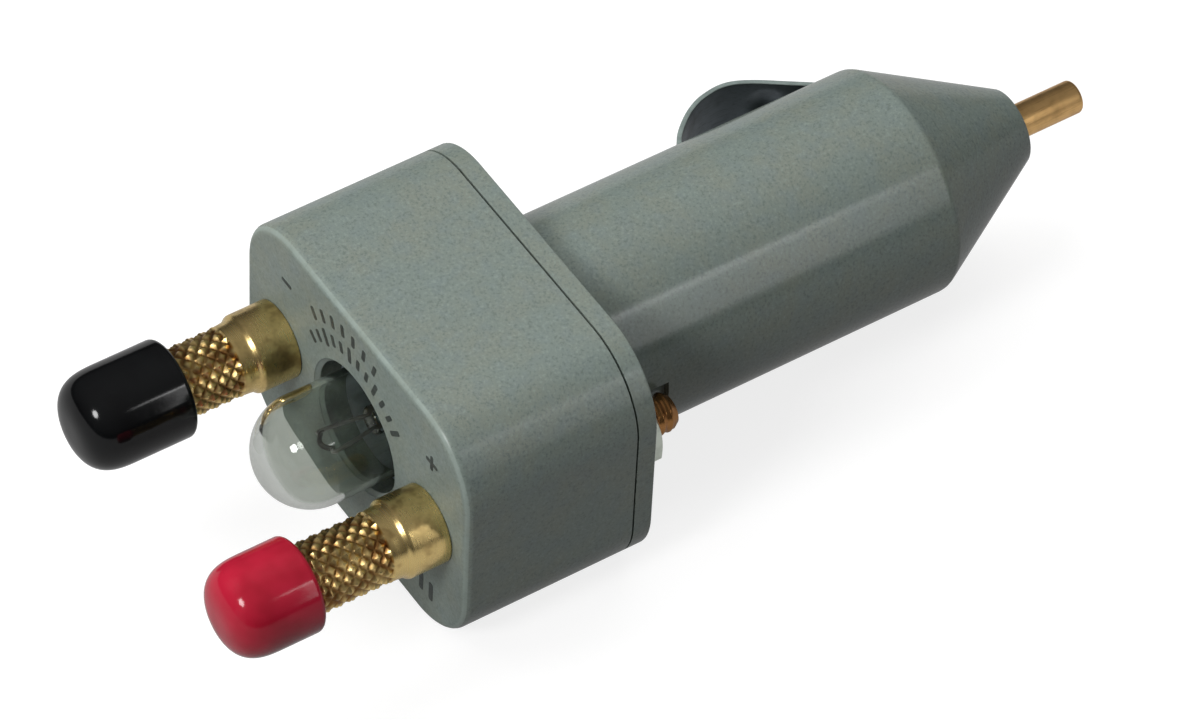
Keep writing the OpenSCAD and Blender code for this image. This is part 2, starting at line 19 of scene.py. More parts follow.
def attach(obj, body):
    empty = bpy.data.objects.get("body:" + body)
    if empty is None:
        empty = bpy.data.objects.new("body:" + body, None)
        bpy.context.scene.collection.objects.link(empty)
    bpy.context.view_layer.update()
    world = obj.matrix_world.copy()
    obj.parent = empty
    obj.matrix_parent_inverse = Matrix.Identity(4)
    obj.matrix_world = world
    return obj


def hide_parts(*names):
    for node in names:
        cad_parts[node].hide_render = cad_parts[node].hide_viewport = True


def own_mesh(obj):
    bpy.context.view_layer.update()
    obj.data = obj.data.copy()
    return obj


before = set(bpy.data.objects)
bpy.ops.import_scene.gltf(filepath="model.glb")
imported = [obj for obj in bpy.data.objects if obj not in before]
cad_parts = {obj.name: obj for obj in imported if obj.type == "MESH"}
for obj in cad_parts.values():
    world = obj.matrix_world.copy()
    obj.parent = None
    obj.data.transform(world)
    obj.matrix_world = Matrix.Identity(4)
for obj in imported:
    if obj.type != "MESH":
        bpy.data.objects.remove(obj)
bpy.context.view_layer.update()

LOG = logging.getLogger("tester")
MM = 0.001
TURN = 2 * math.pi
SAME_PLACE = 1e-6  # Corners nearer to a place than this, in metres, are at it.
DOUBLED = 0.0008 * MM  # Corners nearer to each other than this are merged.
PAST = 1.0  # How far a cutter reaches past what it cuts, in millimetres.
Point = tuple[float, float]
Place = tuple[float, float, float]
Colour = tuple[float, float, float]
Part = bpy.types.Object


class Body(Enum):
    """Bodies of the frame that a piece rides on."""

    TESTER = "tester"
    PIN = "centre_pin"
    BLACK_CAP = "black_cap"
    RED_CAP = "red_cap"


class Pick(Enum):
    """What a selection in edit mode is made of."""

    CORNERS = "VERT"
    EDGES = "EDGE"
    FACES = "FACE"


class Cut(Enum):
    """How one solid is combined with another."""

    TAKE_AWAY = "DIFFERENCE"
    JOIN = "UNION"
    KEEP_SHARED = "INTERSECT"


# Working on parts


def put_down_all() -> None:
    """Leave nothing selected."""
    bpy.ops.object.select_all(action="DESELECT")


def take(part: Part) -> None:
    """Select one part alone and make it the active one."""
    put_down_all()
    part.select_set(True)
    bpy.context.view_layer.objects.active = part


def settle(part: Part) -> None:
    """Take a part's place, turn and scale into its mesh."""
    take(part)
    bpy.ops.object.transform_apply(location=True, rotation=True, scale=True)


def primitive(name: str, kind: str, **settings: Any) -> Part:
    """Add one of Blender's primitives.

    Args:
        name: The new part's name.
        kind: Which primitive it is, such as cube.
        settings: What the primitive's operator is told.

    Returns:
        The part, with its place and size in its mesh.
    """
    put_down_all()
    getattr(bpy.ops.mesh, f"primitive_{kind}_add")(**settings)
    part = bpy.context.object
    part.name = name
    settle(part)
    return part


def change(part: Part, kind: str, **settings: Any) -> None:
    """Put a modifier on a part and apply it.

    Args:
        part: The part.
        kind: The modifier's type.
        settings: The modifier's settings, in the order in which they are made.
    """
    take(part)
    modifier = part.modifiers.new(kind.title(), kind)
    for key, value in settings.items():
        setattr(modifier, key, value)
    bpy.ops.object.modifier_apply(modifier=modifier.name)


def join(name: str, parts: Sequence[Part]) -> Part:
    """Join parts into the first of them.

    Args:
        name: The joined part's name.
        parts: The parts.

    Returns:
        The first part, which now holds them all.
    """
    put_down_all()
    for part in parts:
        part.select_set(True)
    bpy.context.view_layer.objects.active = parts[0]
    bpy.ops.object.join()
    parts[0].name = name
    return parts[0]


@contextmanager
def editing(part: Part) -> Iterator[None]:
    """Open a part in edit mode for the length of a with block."""
    take(part)
    bpy.ops.object.mode_set(mode="EDIT")
    try:
        yield
    finally:
        bpy.ops.object.mode_set(mode="OBJECT")


def choose_all() -> None:
    """Select the whole of the part in edit mode."""
    bpy.ops.mesh.select_all(action="SELECT")


def choose(part: Part, what: Pick, test: Callable[[Any], bool]) -> None:
    """Select just those corners, edges or faces of a part in edit mode that pass a test.

    Args:
        part: The part that is open in edit mode.
        what: Whether corners, edges or faces are tested and selected.
        test: Says of one corner, edge or face whether it is wanted.
    """
    bpy.ops.mesh.select_mode(type=what.value)
    bpy.ops.mesh.select_all(action="DESELECT")
    shape = bmesh.from_edit_mesh(part.data)
    shape.normal_update()
    groups = {Pick.CORNERS: shape.verts, Pick.EDGES: shape.edges, Pick.FACES: shape.faces}
    for item in [item for item in groups[what] if test(item)]:
        item.select_set(True)
    shape.select_flush_mode()
    bmesh.update_edit_mesh(part.data)


def runs_along_y(edge: Any) -> bool:
    """Say whether an edge is parallel to the plug's axis."""
    a, b = (corner.co for corner in edge.verts)
    return abs(b.y - a.y) > 0.9 * (b - a).length


def ends_at(y: float, axis: int = 1) -> Callable[[Any], bool]:
    """Make a test for edges that lie wholly in the plane at a place, in millimetres, on an axis."""
    return lambda edge: all(abs(c.co[axis] - y * MM) < SAME_PLACE for c in edge.verts)


def round_edges(part: Part, test: Callable[[Any], bool], width: float, segments: int) -> None:
    """Bevel those edges of a part in edit mode that pass a test.

    Args:
        part: The part that is open in edit mode.
        test: Says of one edge whether it is rounded.
        width: The bevel's width, in millimetres.
        segments: How many faces go across it.
    """
    choose(part, Pick.EDGES, test)
    bpy.ops.mesh.bevel(offset=width * MM, segments=segments, affect="EDGES")


def clean_up(part: Part) -> None:
    """Merge doubled corners and turn the faces outwards, for the whole of a part."""
    with editing(part):
        choose_all()
        bpy.ops.mesh.remove_doubles(threshold=DOUBLED)
        bpy.ops.mesh.normals_make_consistent(inside=False)


def line(name: str, points: Sequence[Vector], loop: bool = False) -> Part:
    """Draw a line of edges by extruding one corner from point to point.

    Args:
        name: The new part's name.
        points: The line's points, in metres.
        loop: Whether the last point is joined to the first.

    Returns:
        The part that holds the line, with its own origin at the scene's.
    """
    part = primitive(name, "plane", size=MM, location=(0, 0, 0))
    with editing(part):
        bpy.ops.mesh.select_mode(type="VERT")
        choose_all()
        bpy.ops.mesh.merge(type="CENTER")
        bpy.ops.transform.translate(value=points[0])
        for a, b in zip(points, points[1:]):
            bpy.ops.mesh.extrude_vertices_move(TRANSFORM_OT_translate={"value": b - a})
        if loop:
            ends = (points[0], points[-1])
            choose(part, Pick.CORNERS, lambda c: min((c.co - e).length for e in ends) < SAME_PLACE)
            bpy.ops.mesh.edge_face_add()
    return part


def spin(part: Part, steps: int, x: float = 0.0) -> None:
    """Spin a drawn profile through a full turn about a line along Y.

    Args:
        part: The part that holds the profile.
        steps: How many steps the full turn has.
        x: Where the turning axis crosses X, in millimetres.
    """
    with editing(part):
        choose_all()
        bpy.ops.mesh.spin(steps=steps, angle=TURN, center=(x * MM, 0, 0), axis=(0, 1, 0))
    clean_up(part)


def turned(name: str, profile: Sequence[Point], steps: int = 96, x: float = 0.0) -> Part:
    """Turn a profile round the plug's axis, or round a line beside it, as on a lathe.

    Args:
        name: The new part's name.
        profile: Points as (radius, y) in millimetres. A profile that starts and ends on the axis
            makes a solid, any other is closed into a ring.
        steps: How many steps the full turn has.
        x: Where the turning axis crosses X, in millimetres.

    Returns:
        The turned part, closed and with its faces outwards.
    """
    points = [Vector((x + radius, y, 0)) * MM for radius, y in profile]
    part = line(name, points, loop=profile[0][0] > SAME_PLACE)
    spin(part, steps, x)
    return part


def block(name: str, low: Sequence[float], high: Sequence[float]) -> Part:
    """Add a box between its lowest and its highest corner, in millimetres."""
    middle = [(a + b) / 2 * MM for a, b in zip(low, high)]
    size = [(b - a) * MM for a, b in zip(low, high)]
    return primitive(name, "cube", size=1, location=middle, scale=size)


def combine(part: Part, other: Part, how: Cut = Cut.TAKE_AWAY) -> None:
    """Combine a part with another one, which is used up."""
    change(part, "BOOLEAN", operation=how.value, object=other, solver="EXACT")
    bpy.data.objects.remove(other)


def break_edges(part: Part, width: float, angle: float = 40.0) -> None:
    """Round a part's sharp edges with a Bevel modifier.

    Args:
        part: The part.
        width: The bevel's width, in millimetres.
        angle: Edges that are sharper than this, in degrees, are rounded.
    """
    change(part, "BEVEL", width=width * MM, segments=2, limit_method="ANGLE",
           angle_limit=math.radians(angle), use_clamp_overlap=True, miter_outer="MITER_ARC")


def raise_relief(part: Part, depth: float, height: Callable[[Vector], float]) -> None:
    """Press a relief into a part with a weighted Displace modifier.

    Args:
        part: The part.
        depth: How deep the relief goes where its weight is 1, in millimetres.
        height: Gives the weight, from 0 to 1, at a corner's place in metres.
    """
    group = part.vertex_groups.new(name="relief")
    for corner in part.data.vertices:
        weight = height(corner.co)
        if weight > 0:
            group.add([corner.index], weight, "REPLACE")
    change(part, "DISPLACE", direction="NORMAL", vertex_group=group.name, mid_level=0.0,
           strength=-depth * MM)
    part.vertex_groups.clear()


def smooth(part: Part, angle: float = 35.0, weighted: bool = False) -> Part:
    """Shade a part smoothly and keep its sharp edges.

    Args:
        part: The part.
        angle: Edges sharper than this, in degrees, stay sharp.
        weighted: Whether flat faces keep their own normals beside rounded edges.

    Returns:
        The part.
    """
    take(part)
    bpy.ops.object.shade_smooth_by_angle(angle=math.radians(angle))
    if weighted:
        change(part, "WEIGHTED_NORMAL", keep_sharp=True, weight=80)
    return part


def arc(centre: Point, radius: float, start: float, stop: float, count: int) -> list[Point]:
    """Give points of an arc in a turned profile.

    Args:
        centre: The arc's centre as (radius, y).
        radius: The arc's radius.
        start: The first angle in degrees, from the radial direction towards +Y.
        stop: The last angle in degrees.
        count: How many steps the arc has.

    Returns:
        The arc's points, both ends included.
    """
    turns = [math.radians(start + (stop - start) * i / count) for i in range(count + 1)]
    return [(centre[0] + radius * math.cos(t), centre[1] + radius * math.sin(t)) for t in turns]


def triangle_wave(phase: float) -> float:
    """Rise from 0 at a whole phase to 1 halfway to the next one, and fall again."""
    return 1 - abs(2 * (phase - math.floor(phase)) - 1)


# Materials


def math_operator(operation: str, swapped: bool = False) -> Callable[..., "Signal"]:
    """Make an operator for signals, which adds a Math node.

    Args:
        operation: What the node works out.
        swapped: Whether the signal stands on the operator's right.

    Returns:
        The operator, as a method of Signal.
    """
    def work_out(self: "Signal", *others: "Signal | float") -> "Signal":
        """Work out one value from the signal and the others."""
        values = (*others, self) if swapped else (self, *others)
        node = self.sheet.add("ShaderNodeMath", {"operation": operation}, dict(enumerate(values)))
        return Signal(self.sheet, node.outputs[0])

    return work_out


class Signal:
    """A value that changes over a surface, which takes part in arithmetic as a number does."""

    __add__ = math_operator("ADD")
    __radd__ = math_operator("ADD", swapped=True)
    __sub__ = math_operator("SUBTRACT")
    __rsub__ = math_operator("SUBTRACT", swapped=True)
    __mul__ = math_operator("MULTIPLY")
    __rmul__ = math_operator("MULTIPLY", swapped=True)
    __truediv__ = math_operator("DIVIDE")
    __abs__ = math_operator("ABSOLUTE")
    root = math_operator("SQRT")

    def __init__(self, sheet: "NodeSheet", socket: bpy.types.NodeSocket) -> None:
        """Wrap an output socket of a sheet's node."""
        self.sheet = sheet
        self.socket = socket

    def ramp(self, low: float, high: float) -> "Signal":
        """Rise smoothly from 0 to 1 between two values, and stay there beyond them."""
        node = self.sheet.add(
            "ShaderNodeMapRange", {"interpolation_type": "SMOOTHSTEP", "clamp": True},
            {"Value": self, "From Min": low, "From Max": high})
        return Signal(self.sheet, node.outputs["Result"])


class NodeSheet:
    """The nodes of one material or of the world."""

    def __init__(self, tree: bpy.types.NodeTree) -> None:
        """Start with an emptied tree."""
        self.tree = tree
        tree.nodes.clear()

    def add(self, kind: str, settings: dict[str, Any] | None = None,
            inputs: dict[str | int, Any] | None = None) -> bpy.types.Node:
        """Add one node.

        Args:
            kind: The node's type.
            settings: Its settings, and a ramp's stops under "stops".
            inputs: Values or signals for its sockets, by name or by number.

        Returns:
            The node.
        """
        node = self.tree.nodes.new(kind)
        for key, value in (settings or {}).items():
            if key == "stops":
                stops = node.color_ramp.elements
                while len(stops) < len(value):
                    stops.new(0.5)
                for stop, (place, level) in zip(stops, value):
                    stop.position = place
                    stop.color = (*grey(level), 1.0)
            else:
                setattr(node, key, value)
        self.feed(node, inputs or {})
        return node

    def feed(self, node: bpy.types.Node, inputs: dict[str | int, Any]) -> None:
        """Set or link input sockets of a node.

        Args:
            node: The node.
            inputs: By name or number, a signal, an output socket, a number or a colour.
        """
        for key, value in inputs.items():
            socket = node.inputs[key]
            if isinstance(value, (Signal, bpy.types.NodeSocket)):
                self.tree.links.new(getattr(value, "socket", value), socket)
            elif socket.type == "RGBA" and len(value) == 3:
                socket.default_value = (*value, 1.0)
            else:
                socket.default_value = value

    def place(self) -> bpy.types.NodeSocket:
        """Give the place on the object, in metres."""
        return self.add("ShaderNodeTexCoord").outputs["Object"]

    def axes(self, place: bpy.types.NodeSocket) -> tuple[Signal, Signal, Signal]:
        """Split a place into X, Y and Z signals."""
        node = self.add("ShaderNodeSeparateXYZ", inputs={0: place})
        return tuple(Signal(self, node.outputs[i]) for i in range(3))

    def joined(self, *values: Signal | float) -> bpy.types.NodeSocket:
        """Join three values into a place."""
        return self.add("ShaderNodeCombineXYZ", inputs=dict(enumerate(values))).outputs[0]

    def noise(self, place: bpy.types.NodeSocket, scale: float, detail: float = 2.0,
              rough: float = 0.5) -> Signal:
        """Give a noise signal around 0.5.

        Args:
            place: Where the noise is read.
            scale: How fine it is, in blobs a metre.
            detail: How many finer layers it has.
            rough: How strong the finer layers are.

        Returns:
            The noise.
        """
        inputs = {"Vector": place, "Scale": scale, "Detail": detail, "Roughness": rough}
        return Signal(self, self.add("ShaderNodeTexNoise", None, inputs).outputs["Fac"])

    def blend(self, share: Signal, a: Any, b: Any) -> bpy.types.NodeSocket:
        """Mix two colours or colour sockets by the share that is taken of the second one."""
        node = self.add("ShaderNodeMix", {"data_type": "RGBA"}, {0: share, 6: a, 7: b})
        return node.outputs[2]

    def bump(self, height: Signal, depth: float, strength: float) -> bpy.types.NodeSocket:
        """Give a normal that follows a height signal.

        Args:
            height: The height, from 0 to 1.
            depth: What a height of 1 stands for, in millimetres.
            strength: How much of the bump shows.

        Returns:
            The normal.
        """
        inputs = {"Strength": strength, "Distance": depth * MM, "Height": height}
        return self.add("ShaderNodeBump", None, inputs).outputs["Normal"]

    def ray(self, kind: str) -> Signal:
        """Say whether what looks at the surface is a ray of the given kind."""
        return Signal(self, self.add("ShaderNodeLightPath").outputs[f"Is {kind} Ray"])


def paint(text: str) -> Colour:
    """Turn a colour written as #rrggbb into the linear values that a shader takes."""
    values = [int(text[i:i + 2], 16) / 255 for i in (1, 3, 5)]
    return tuple(v / 12.92 if v <= 0.04045 else ((v + 0.055) / 1.055) ** 2.4 for v in values)


def grey(level: float) -> Colour:
    """Give a linear grey."""
    return (level, level, level)


@dataclass(frozen=True)
class Finish:
    """A surface finish, made once as a material and shared by the pieces that have it.

    The slot is the record's, and is empty where no piece is handed over in the finish.
    """

    name: str
    slot: str = ""

    def material(self) -> bpy.types.Material:
        """Give the finish's material, and make it at the first call."""
        found = bpy.data.materials.get("finish_" + self.name)
        if found is not None:
            return found
        made = bpy.data.materials.new("finish_" + self.name)
        made.use_nodes = True
        sheet = NodeSheet(made.node_tree)
        shader = sheet.add("ShaderNodeBsdfPrincipled")
        sheet.add("ShaderNodeOutputMaterial", {"target": "ALL"}, {"Surface": shader.outputs[0]})
        sheet.feed(shader, self.dress(sheet, sheet.place()))
        return made

    def dress(self, sheet: NodeSheet, place: bpy.types.NodeSocket) -> dict[str, Any]:
        """Give what the shader's sockets are fed.

        Args:
            sheet: The material's nodes.
            place: The place on the object.

        Returns:
            Values and signals by the names of the sockets.
        """
        raise NotImplementedError

    def put_on(self, part: Part) -> None:
        """Give a part this finish all over."""
        material = self.material()
        if part.material_slots:
            for place in part.material_slots:
                place.material = material
        else:
            part.data.materials.append(material)


@dataclass(frozen=True)
class MouldedPlastic(Finish):
    """Moulded plastic with faint flow marks: polished on the plug, satin on the head's front.

    The edge wear with its painted highlight and the satin are given by where they start and stop
    ahead of the plate's back face.
    """

    colour: str = "#737e78"
    warm: str = "#787e73"
    cool: str = "#6f7b7b"
    wear_and_highlight: str = "#909c95"
    shine: float = 0.35
    front_wear_and_highlight: tuple[float, ...] = (18.28, 18.4, 18.56, 18.66)
    back_wear_and_highlight: tuple[float, ...] = (0.02, 0.06, 0.14, 0.2)
    front_satin: Point = (18.2, 18.7)
    plate_satin: Point = (-0.3, 0.3)

    def edge_wear_and_highlight(self, ahead: Signal, patch: Signal) -> Signal:
        """Give how far the head's front edge and the plate's back edge are painted pale, as wear and
        as a highlight.

        Args:
            ahead: The distance from the plate's back face towards the head's front.
            patch: A noise that breaks the wear up.

        Returns:
            The share of the pale colour, which is partly wear and partly painted highlight.
        """
        front, back = (ahead.ramp(a * MM, b * MM) * (1 - ahead.ramp(c * MM, d * MM))
                       for a, b, c, d in (self.front_wear_and_highlight, self.back_wear_and_highlight))
        return (front + 0.5 * back) * (0.15 + 0.8 * patch)

    def dress(self, sheet: NodeSheet, place: bpy.types.NodeSocket) -> dict[str, Any]:
        """Mottle the plastic with flow marks and specks, and paint its edges pale as wear and as a
        highlight.
        """
        ahead = sheet.axes(place)[1] * -1
        flow = sheet.noise(place, 190.0, 3.0, 0.6)
        patch = sheet.noise(place, 620.0, 2.0)
        speck = sheet.noise(place, 3400.0, 3.0, 0.7)
        grain = sheet.noise(place, 6500.0, 2.0, 0.6)
        colour = paint(self.colour)
        base = sheet.blend(flow.ramp(0.35, 0.65) * 0.7, colour, paint(self.warm))
        base = sheet.blend(patch.ramp(0.42, 0.72) * 0.4, base, paint(self.cool))
        dark = tuple(v * 0.72 for v in colour)
        light = tuple(min(1.0, v * 1.35) for v in colour)
        base = sheet.blend(speck.ramp(0.52, 0.66) * 0.75, base, dark)
        base = sheet.blend((1 - speck).ramp(0.54, 0.68) * 0.5, base, light)
        # Pale edge band: partly wear, partly a painted highlight on the rounded edges.
        base = sheet.blend(self.edge_wear_and_highlight(ahead, patch), base, paint(self.wear_and_highlight))
        front, plate = (ahead.ramp(a * MM, b * MM)
                        for a, b in (self.front_satin, self.plate_satin))
        rough = 0.11 + 0.1 * grain + 0.04 * flow + (front * 0.2 + plate * 0.07)
        return {"Base Color": base, "Roughness": rough, "Specular IOR Level": self.shine,
                "Normal": sheet.bump(0.7 * grain + 0.3 * speck, 0.009, 0.4)}


@dataclass(frozen=True)
class TurnedMetal(Finish):
    """Metal turned on a lathe, with fine tool marks round it, tarnished in its hollows, and with
    painted shade in a knurl's valleys.

    A post's finish has the radius of the knurl's tips and its depth, and where along -Y the knurl's
    darkened valleys and along Y the stud's colour set in.
    """

    colour: str = "#f6d892"
    tarnish_and_shade: str = "#8f683c"
    stud: str = "#b07d4c"
    axis_x: float = 0.0
    tip: float = 0.0
    depth: float = 0.33
    rough: float = 0.2
    stain: float = 0.5
    knurl_start: Point = (23.9, 24.1)
    stud_start: Point = (-3, -1)

    def dress(self, sheet: NodeSheet, place: bpy.types.NodeSocket) -> dict[str, Any]:
        """Draw tool marks round the axis, tarnished clouds and, on a post, a knurl whose valleys are
        darkened, partly as tarnish and partly as painted shade.
        """
        x, y, z = sheet.axes(place)
        side = abs(x) - self.axis_x * MM
        radius = (side * side + z * z).root()
        rings = sheet.joined(radius, y, 0.0)
        marks = sheet.noise(rings, 7000.0, 2.0, 0.6)
        wide = sheet.noise(rings, 900.0, 2.0)
        tarnish_and_valley_shade = sheet.noise(place, 420.0, 3.0, 0.6).ramp(0.42, 0.72) * self.stain
        bare = paint(self.colour)
        if self.tip:
            # Painted shade: the knurl's valleys take the dark colour, partly as tarnish, partly as
            # the shade that falls in them.
            valley_shade = ((self.tip * MM - radius) / (self.depth * MM)).ramp(0.1, 0.9)
            knurled = (y * -1).ramp(*(v * MM for v in self.knurl_start))
            tarnish_and_valley_shade = tarnish_and_valley_shade + valley_shade * knurled * 0.6
            bare = sheet.blend(y.ramp(*(v * MM for v in self.stud_start)), bare, paint(self.stud))
        return {"Base Color": sheet.blend(tarnish_and_valley_shade.ramp(0.0, 1.0), bare, paint(self.tarnish_and_shade)),
                "Metallic": 1.0, "Roughness": self.rough + 0.1 * marks + 0.16 * tarnish_and_valley_shade,
                "Normal": sheet.bump(0.6 * marks + 0.4 * wide, 0.012, 0.6)}


@dataclass(frozen=True)
class DrawnMetal(Finish):
    """Sheet or wire with fine lines along its length and a few darker stains."""

    colour: str = "#cfcdc6"
    stain_colour: str = "#7d776a"
    rough: float = 0.22
    stain: float = 0.5
    across: float = 5200.0
    along: float = 260.0

    def dress(self, sheet: NodeSheet, place: bpy.types.NodeSocket) -> dict[str, Any]:
        """Draw lines along Y and clouds of stain."""
        x, y, z = sheet.axes(place)
        stretched = sheet.joined(x * self.across, y * self.along, z * self.across)
        lines = sheet.noise(stretched, 1.0, 3.0, 0.6)
        cloud = sheet.noise(place, 330.0, 3.0, 0.6)
        stained = paint(self.stain_colour)
        base = sheet.blend(cloud.ramp(0.45, 0.75) * self.stain, paint(self.colour), stained)
        return {"Base Color": sheet.blend(lines.ramp(0.5, 0.75) * 0.35, base, stained),
                "Metallic": 1.0, "Roughness": self.rough + 0.16 * lines + 0.1 * cloud,
                "Normal": sheet.bump(lines, 0.01, 0.6)}


@dataclass(frozen=True)
class DippedVinyl(Finish):
    """Soft vinyl from a dipping bath: glossy, faintly wavy, with a few pin holes."""

    colour: str = "#0b0c0d"
    deep: str = "#070708"
    rough: float = 0.08
    shine: float = 0.32

    def dress(self, sheet: NodeSheet, place: bpy.types.NodeSocket) -> dict[str, Any]:
        """Let the skin sag a little and pit it."""
        sag = sheet.noise(place, 240.0, 2.0)
        skin = sheet.noise(place, 2400.0, 3.0, 0.6)
        cells = sheet.add("ShaderNodeTexVoronoi", None, {"Vector": place, "Scale": 900.0})
        pits = (1 - Signal(sheet, cells.outputs["Distance"])).ramp(0.93, 0.99)
        base = sheet.blend(sag.ramp(0.35, 0.7), paint(self.colour), paint(self.deep))
        return {"Base Color": base, "Roughness": self.rough + 0.08 * skin,
                "Normal": sheet.bump(0.8 * sag + 0.1 * skin - 0.3 * pits, 0.05, 0.5),
                "Specular IOR Level": self.shine}


@dataclass(frozen=True)
class BlownGlass(Finish):
    """Clear blown glass with the faintest waves, a few smears and a grey tint, darkened as painted
    shade seen through the glass.
    """

    # Painted shade: the tint is darkened to stand for the shade seen through the glass.
    tint_and_shade: Colour = (0.84, 0.875, 0.825)
    bend: float = 1.5

    def dress(self, sheet: NodeSheet, place: bpy.types.NodeSocket) -> dict[str, Any]:
        """Wave the glass and smear it."""
        smear = sheet.noise(place, 700.0, 3.0)
        return {"Base Color": self.tint_and_shade, "Roughness": smear.ramp(0.6, 0.9) * 0.06,
                "Normal": sheet.bump(sheet.noise(place, 260.0, 1.0), 0.05, 0.35),
                "IOR": self.bend, "Transmission Weight": 1.0}


@dataclass(frozen=True)
class DullSurface(Finish):
    """A dull surface with mottled colour, for fibre, fired glass, solder and printing ink."""

    colour: str = "#5a3a2a"
    other: str = "#3d2a20"
    rough: float = 0.6
    scale: float = 900.0
    metallic: float = 0.0

    def dress(self, sheet: NodeSheet, place: bpy.types.NodeSocket) -> dict[str, Any]:
        """Mottle the surface."""
        mottle = sheet.noise(place, self.scale, 3.0, 0.6)
        fine = sheet.noise(place, self.scale * 5, 2.0)
        base = sheet.blend(mottle.ramp(0.35, 0.65), paint(self.colour), paint(self.other))
        return {"Base Color": base, "Metallic": self.metallic,
                "Roughness": self.rough + 0.2 * (fine - 0.5),
                "Normal": sheet.bump(0.5 * mottle + 0.5 * fine, 0.03, 0.5)}


PLASTIC = MouldedPlastic("moulded_plastic", "grey_plastic")
POST_BRASS = TurnedMetal("post_brass", "turned_brass", axis_x=11.9, tip=3.2, rough=0.22, stain=0.6)
BUTTON_BRASS = TurnedMetal("button_brass", rough=0.3)
BASE_BRASS = TurnedMetal("base_brass", "strip_brass", "#cdb070", rough=0.34)
SHEET_BRASS = DrawnMetal("sheet_brass", "", "#a58c55", "#4d4027", 0.42)
TINNED_BRASS = DrawnMetal("tinned_brass", "", "#e6edf5", "#aab1b8", 0.6)
NUT_NICKEL = TurnedMetal("nut_nickel", "nickel_plate", "#dbe2d6", "#8c9288", axis_x=11.9,
                         rough=0.26, stain=0.35)
LEAF_NICKEL = DrawnMetal("leaf_nickel", "nickel_plate", "#d3d7d5", "#85837d", 0.27)
LEAF_EDGE = DullSurface("leaf_edge", "", "#7d8985", "#707b78", 0.5, 1200.0)
# Painted shade: a darker copy of the leaf's nickel for its inside, which faces the barrel.
LEAF_INSIDE_SHADE = DrawnMetal("leaf_inside_shade", "", "#6f777c", "#484c4f", 0.34)
PIN_COPPER = DrawnMetal("pin_copper", "copper_alloy", "#ffd08c", "#96683c", 0.24, 0.4)
SPRING_STEEL = DrawnMetal("spring_steel", "spring_steel", "#a3a5a6", "#5b5a57", 0.3)
LEAD_STEEL = DrawnMetal("lead_steel", "spring_steel", "#b4b3b0", "#7b7874", 0.34)
COIL_STEEL = DrawnMetal("coil_steel", "spring_steel", "#77746f", "#3c3a38", 0.4)
GLASS = BlownGlass("blown_glass", "clear_glass")
FIBRE = DullSurface("pressed_fibre")
FIRED_GLASS = DullSurface("fired_glass", "", "#17171a", "#101013", 0.22)
SOLDER = DullSurface("solder", "", "#b5b6b2", "#8a8b88", 0.38, 1400.0, 1.0)
INK = DullSurface("ink", "black_vinyl", "#2b302e", "#3a403d", 0.55, 2600.0)
BLACK_VINYL = DippedVinyl("black_vinyl", "black_vinyl")
RED_VINYL = DippedVinyl("red_vinyl", "red_vinyl", "#aa1d33", "#931527", 0.09)


# Pieces


def hand_over(part: Part, finish: Finish, *nodes: str, body: Body = Body.TESTER) -> Part:
    """Dress a finished piece and hang it in the frame.

    Args:
        part: The piece, whose place is in its mesh.
        finish: Its finish, which knows the record's slot.
        nodes: The solids that it stands for.
        body: The body that it rides on.

    Returns:
        The piece.
    """
    settle(part)
    finish.put_on(part)
    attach(part, body.value)
    if nodes:
        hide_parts(*nodes)
    LOG.info("%s: %d faces, rides on %s", part.name, len(part.data.polygons), body.value)
    return part


@dataclass
class Head:
    """The moulded head with its open back."""

    width: float = 35.0
    height: float = 25.7
    front: float = -18.7
    rim: float = -2.0
    inner_rim: float = -1.8
    inner_front: float = -16.2
    corner: float = 7.2
    front_round: float = 0.8
    seam: float = 0.8
    wall: float = 2.0
    lamp_hole: float = 12.1
    hole_edge: float = 0.4
    stud_hole: float = 3.8
    post_x: float = 11.9

    def outline_block(self, name: str, y_start: float, y_stop: float) -> Part:
        """Make a length of the head's section with its four round corners.

        Args:
            name: The new part's name.
            y_start: Where the length starts.
            y_stop: Where it stops.

        Returns:
            The block.
        """
        half_w, half_h = self.width / 2, self.height / 2
        part = block(name, (-half_w, y_start, -half_h), (half_w, y_stop, half_h))
        with editing(part):
            round_edges(part, runs_along_y, self.corner, 20)
        return part

    def step(self, inset: float, run: float) -> None:
        """Draw the end face that is selected in edit mode in, and push it along +Y."""
        bpy.ops.mesh.inset(thickness=inset * MM, depth=0)
        bpy.ops.mesh.extrude_region_move(TRANSFORM_OT_translate={"value": (0, run * MM, 0)})

    def shell(self) -> Part:
        """Build the shell from a block, with its rounded front edge and its holes."""
        part = self.outline_block("head_moulding", self.front, self.rim)
        with editing(part):
            round_edges(part, ends_at(self.front), self.front_round, 6)
            choose(part, Pick.FACES, lambda f: f.normal.y > 0.99)
            self.step(self.seam, self.inner_rim - self.rim)
            self.step(self.wall - self.seam, self.inner_front - self.inner_rim)
        r, s = self.lamp_hole / 2, self.stud_hole / 2
        front, back = self.front - PAST, self.inner_front + PAST
        combine(part, turned("lamp_cut", [
            (0, front), (r + self.hole_edge + PAST, front), (r, self.front + self.hole_edge),
            (r, back), (0, back)], 128))
        for side in (-1, 1):
            combine(part, turned("stud_cut", [(0, front), (s, front), (s, back), (0, back)], 48,
                                 side * self.post_x))
        return hand_over(smooth(part, weighted=True), PLASTIC, "head_shell")


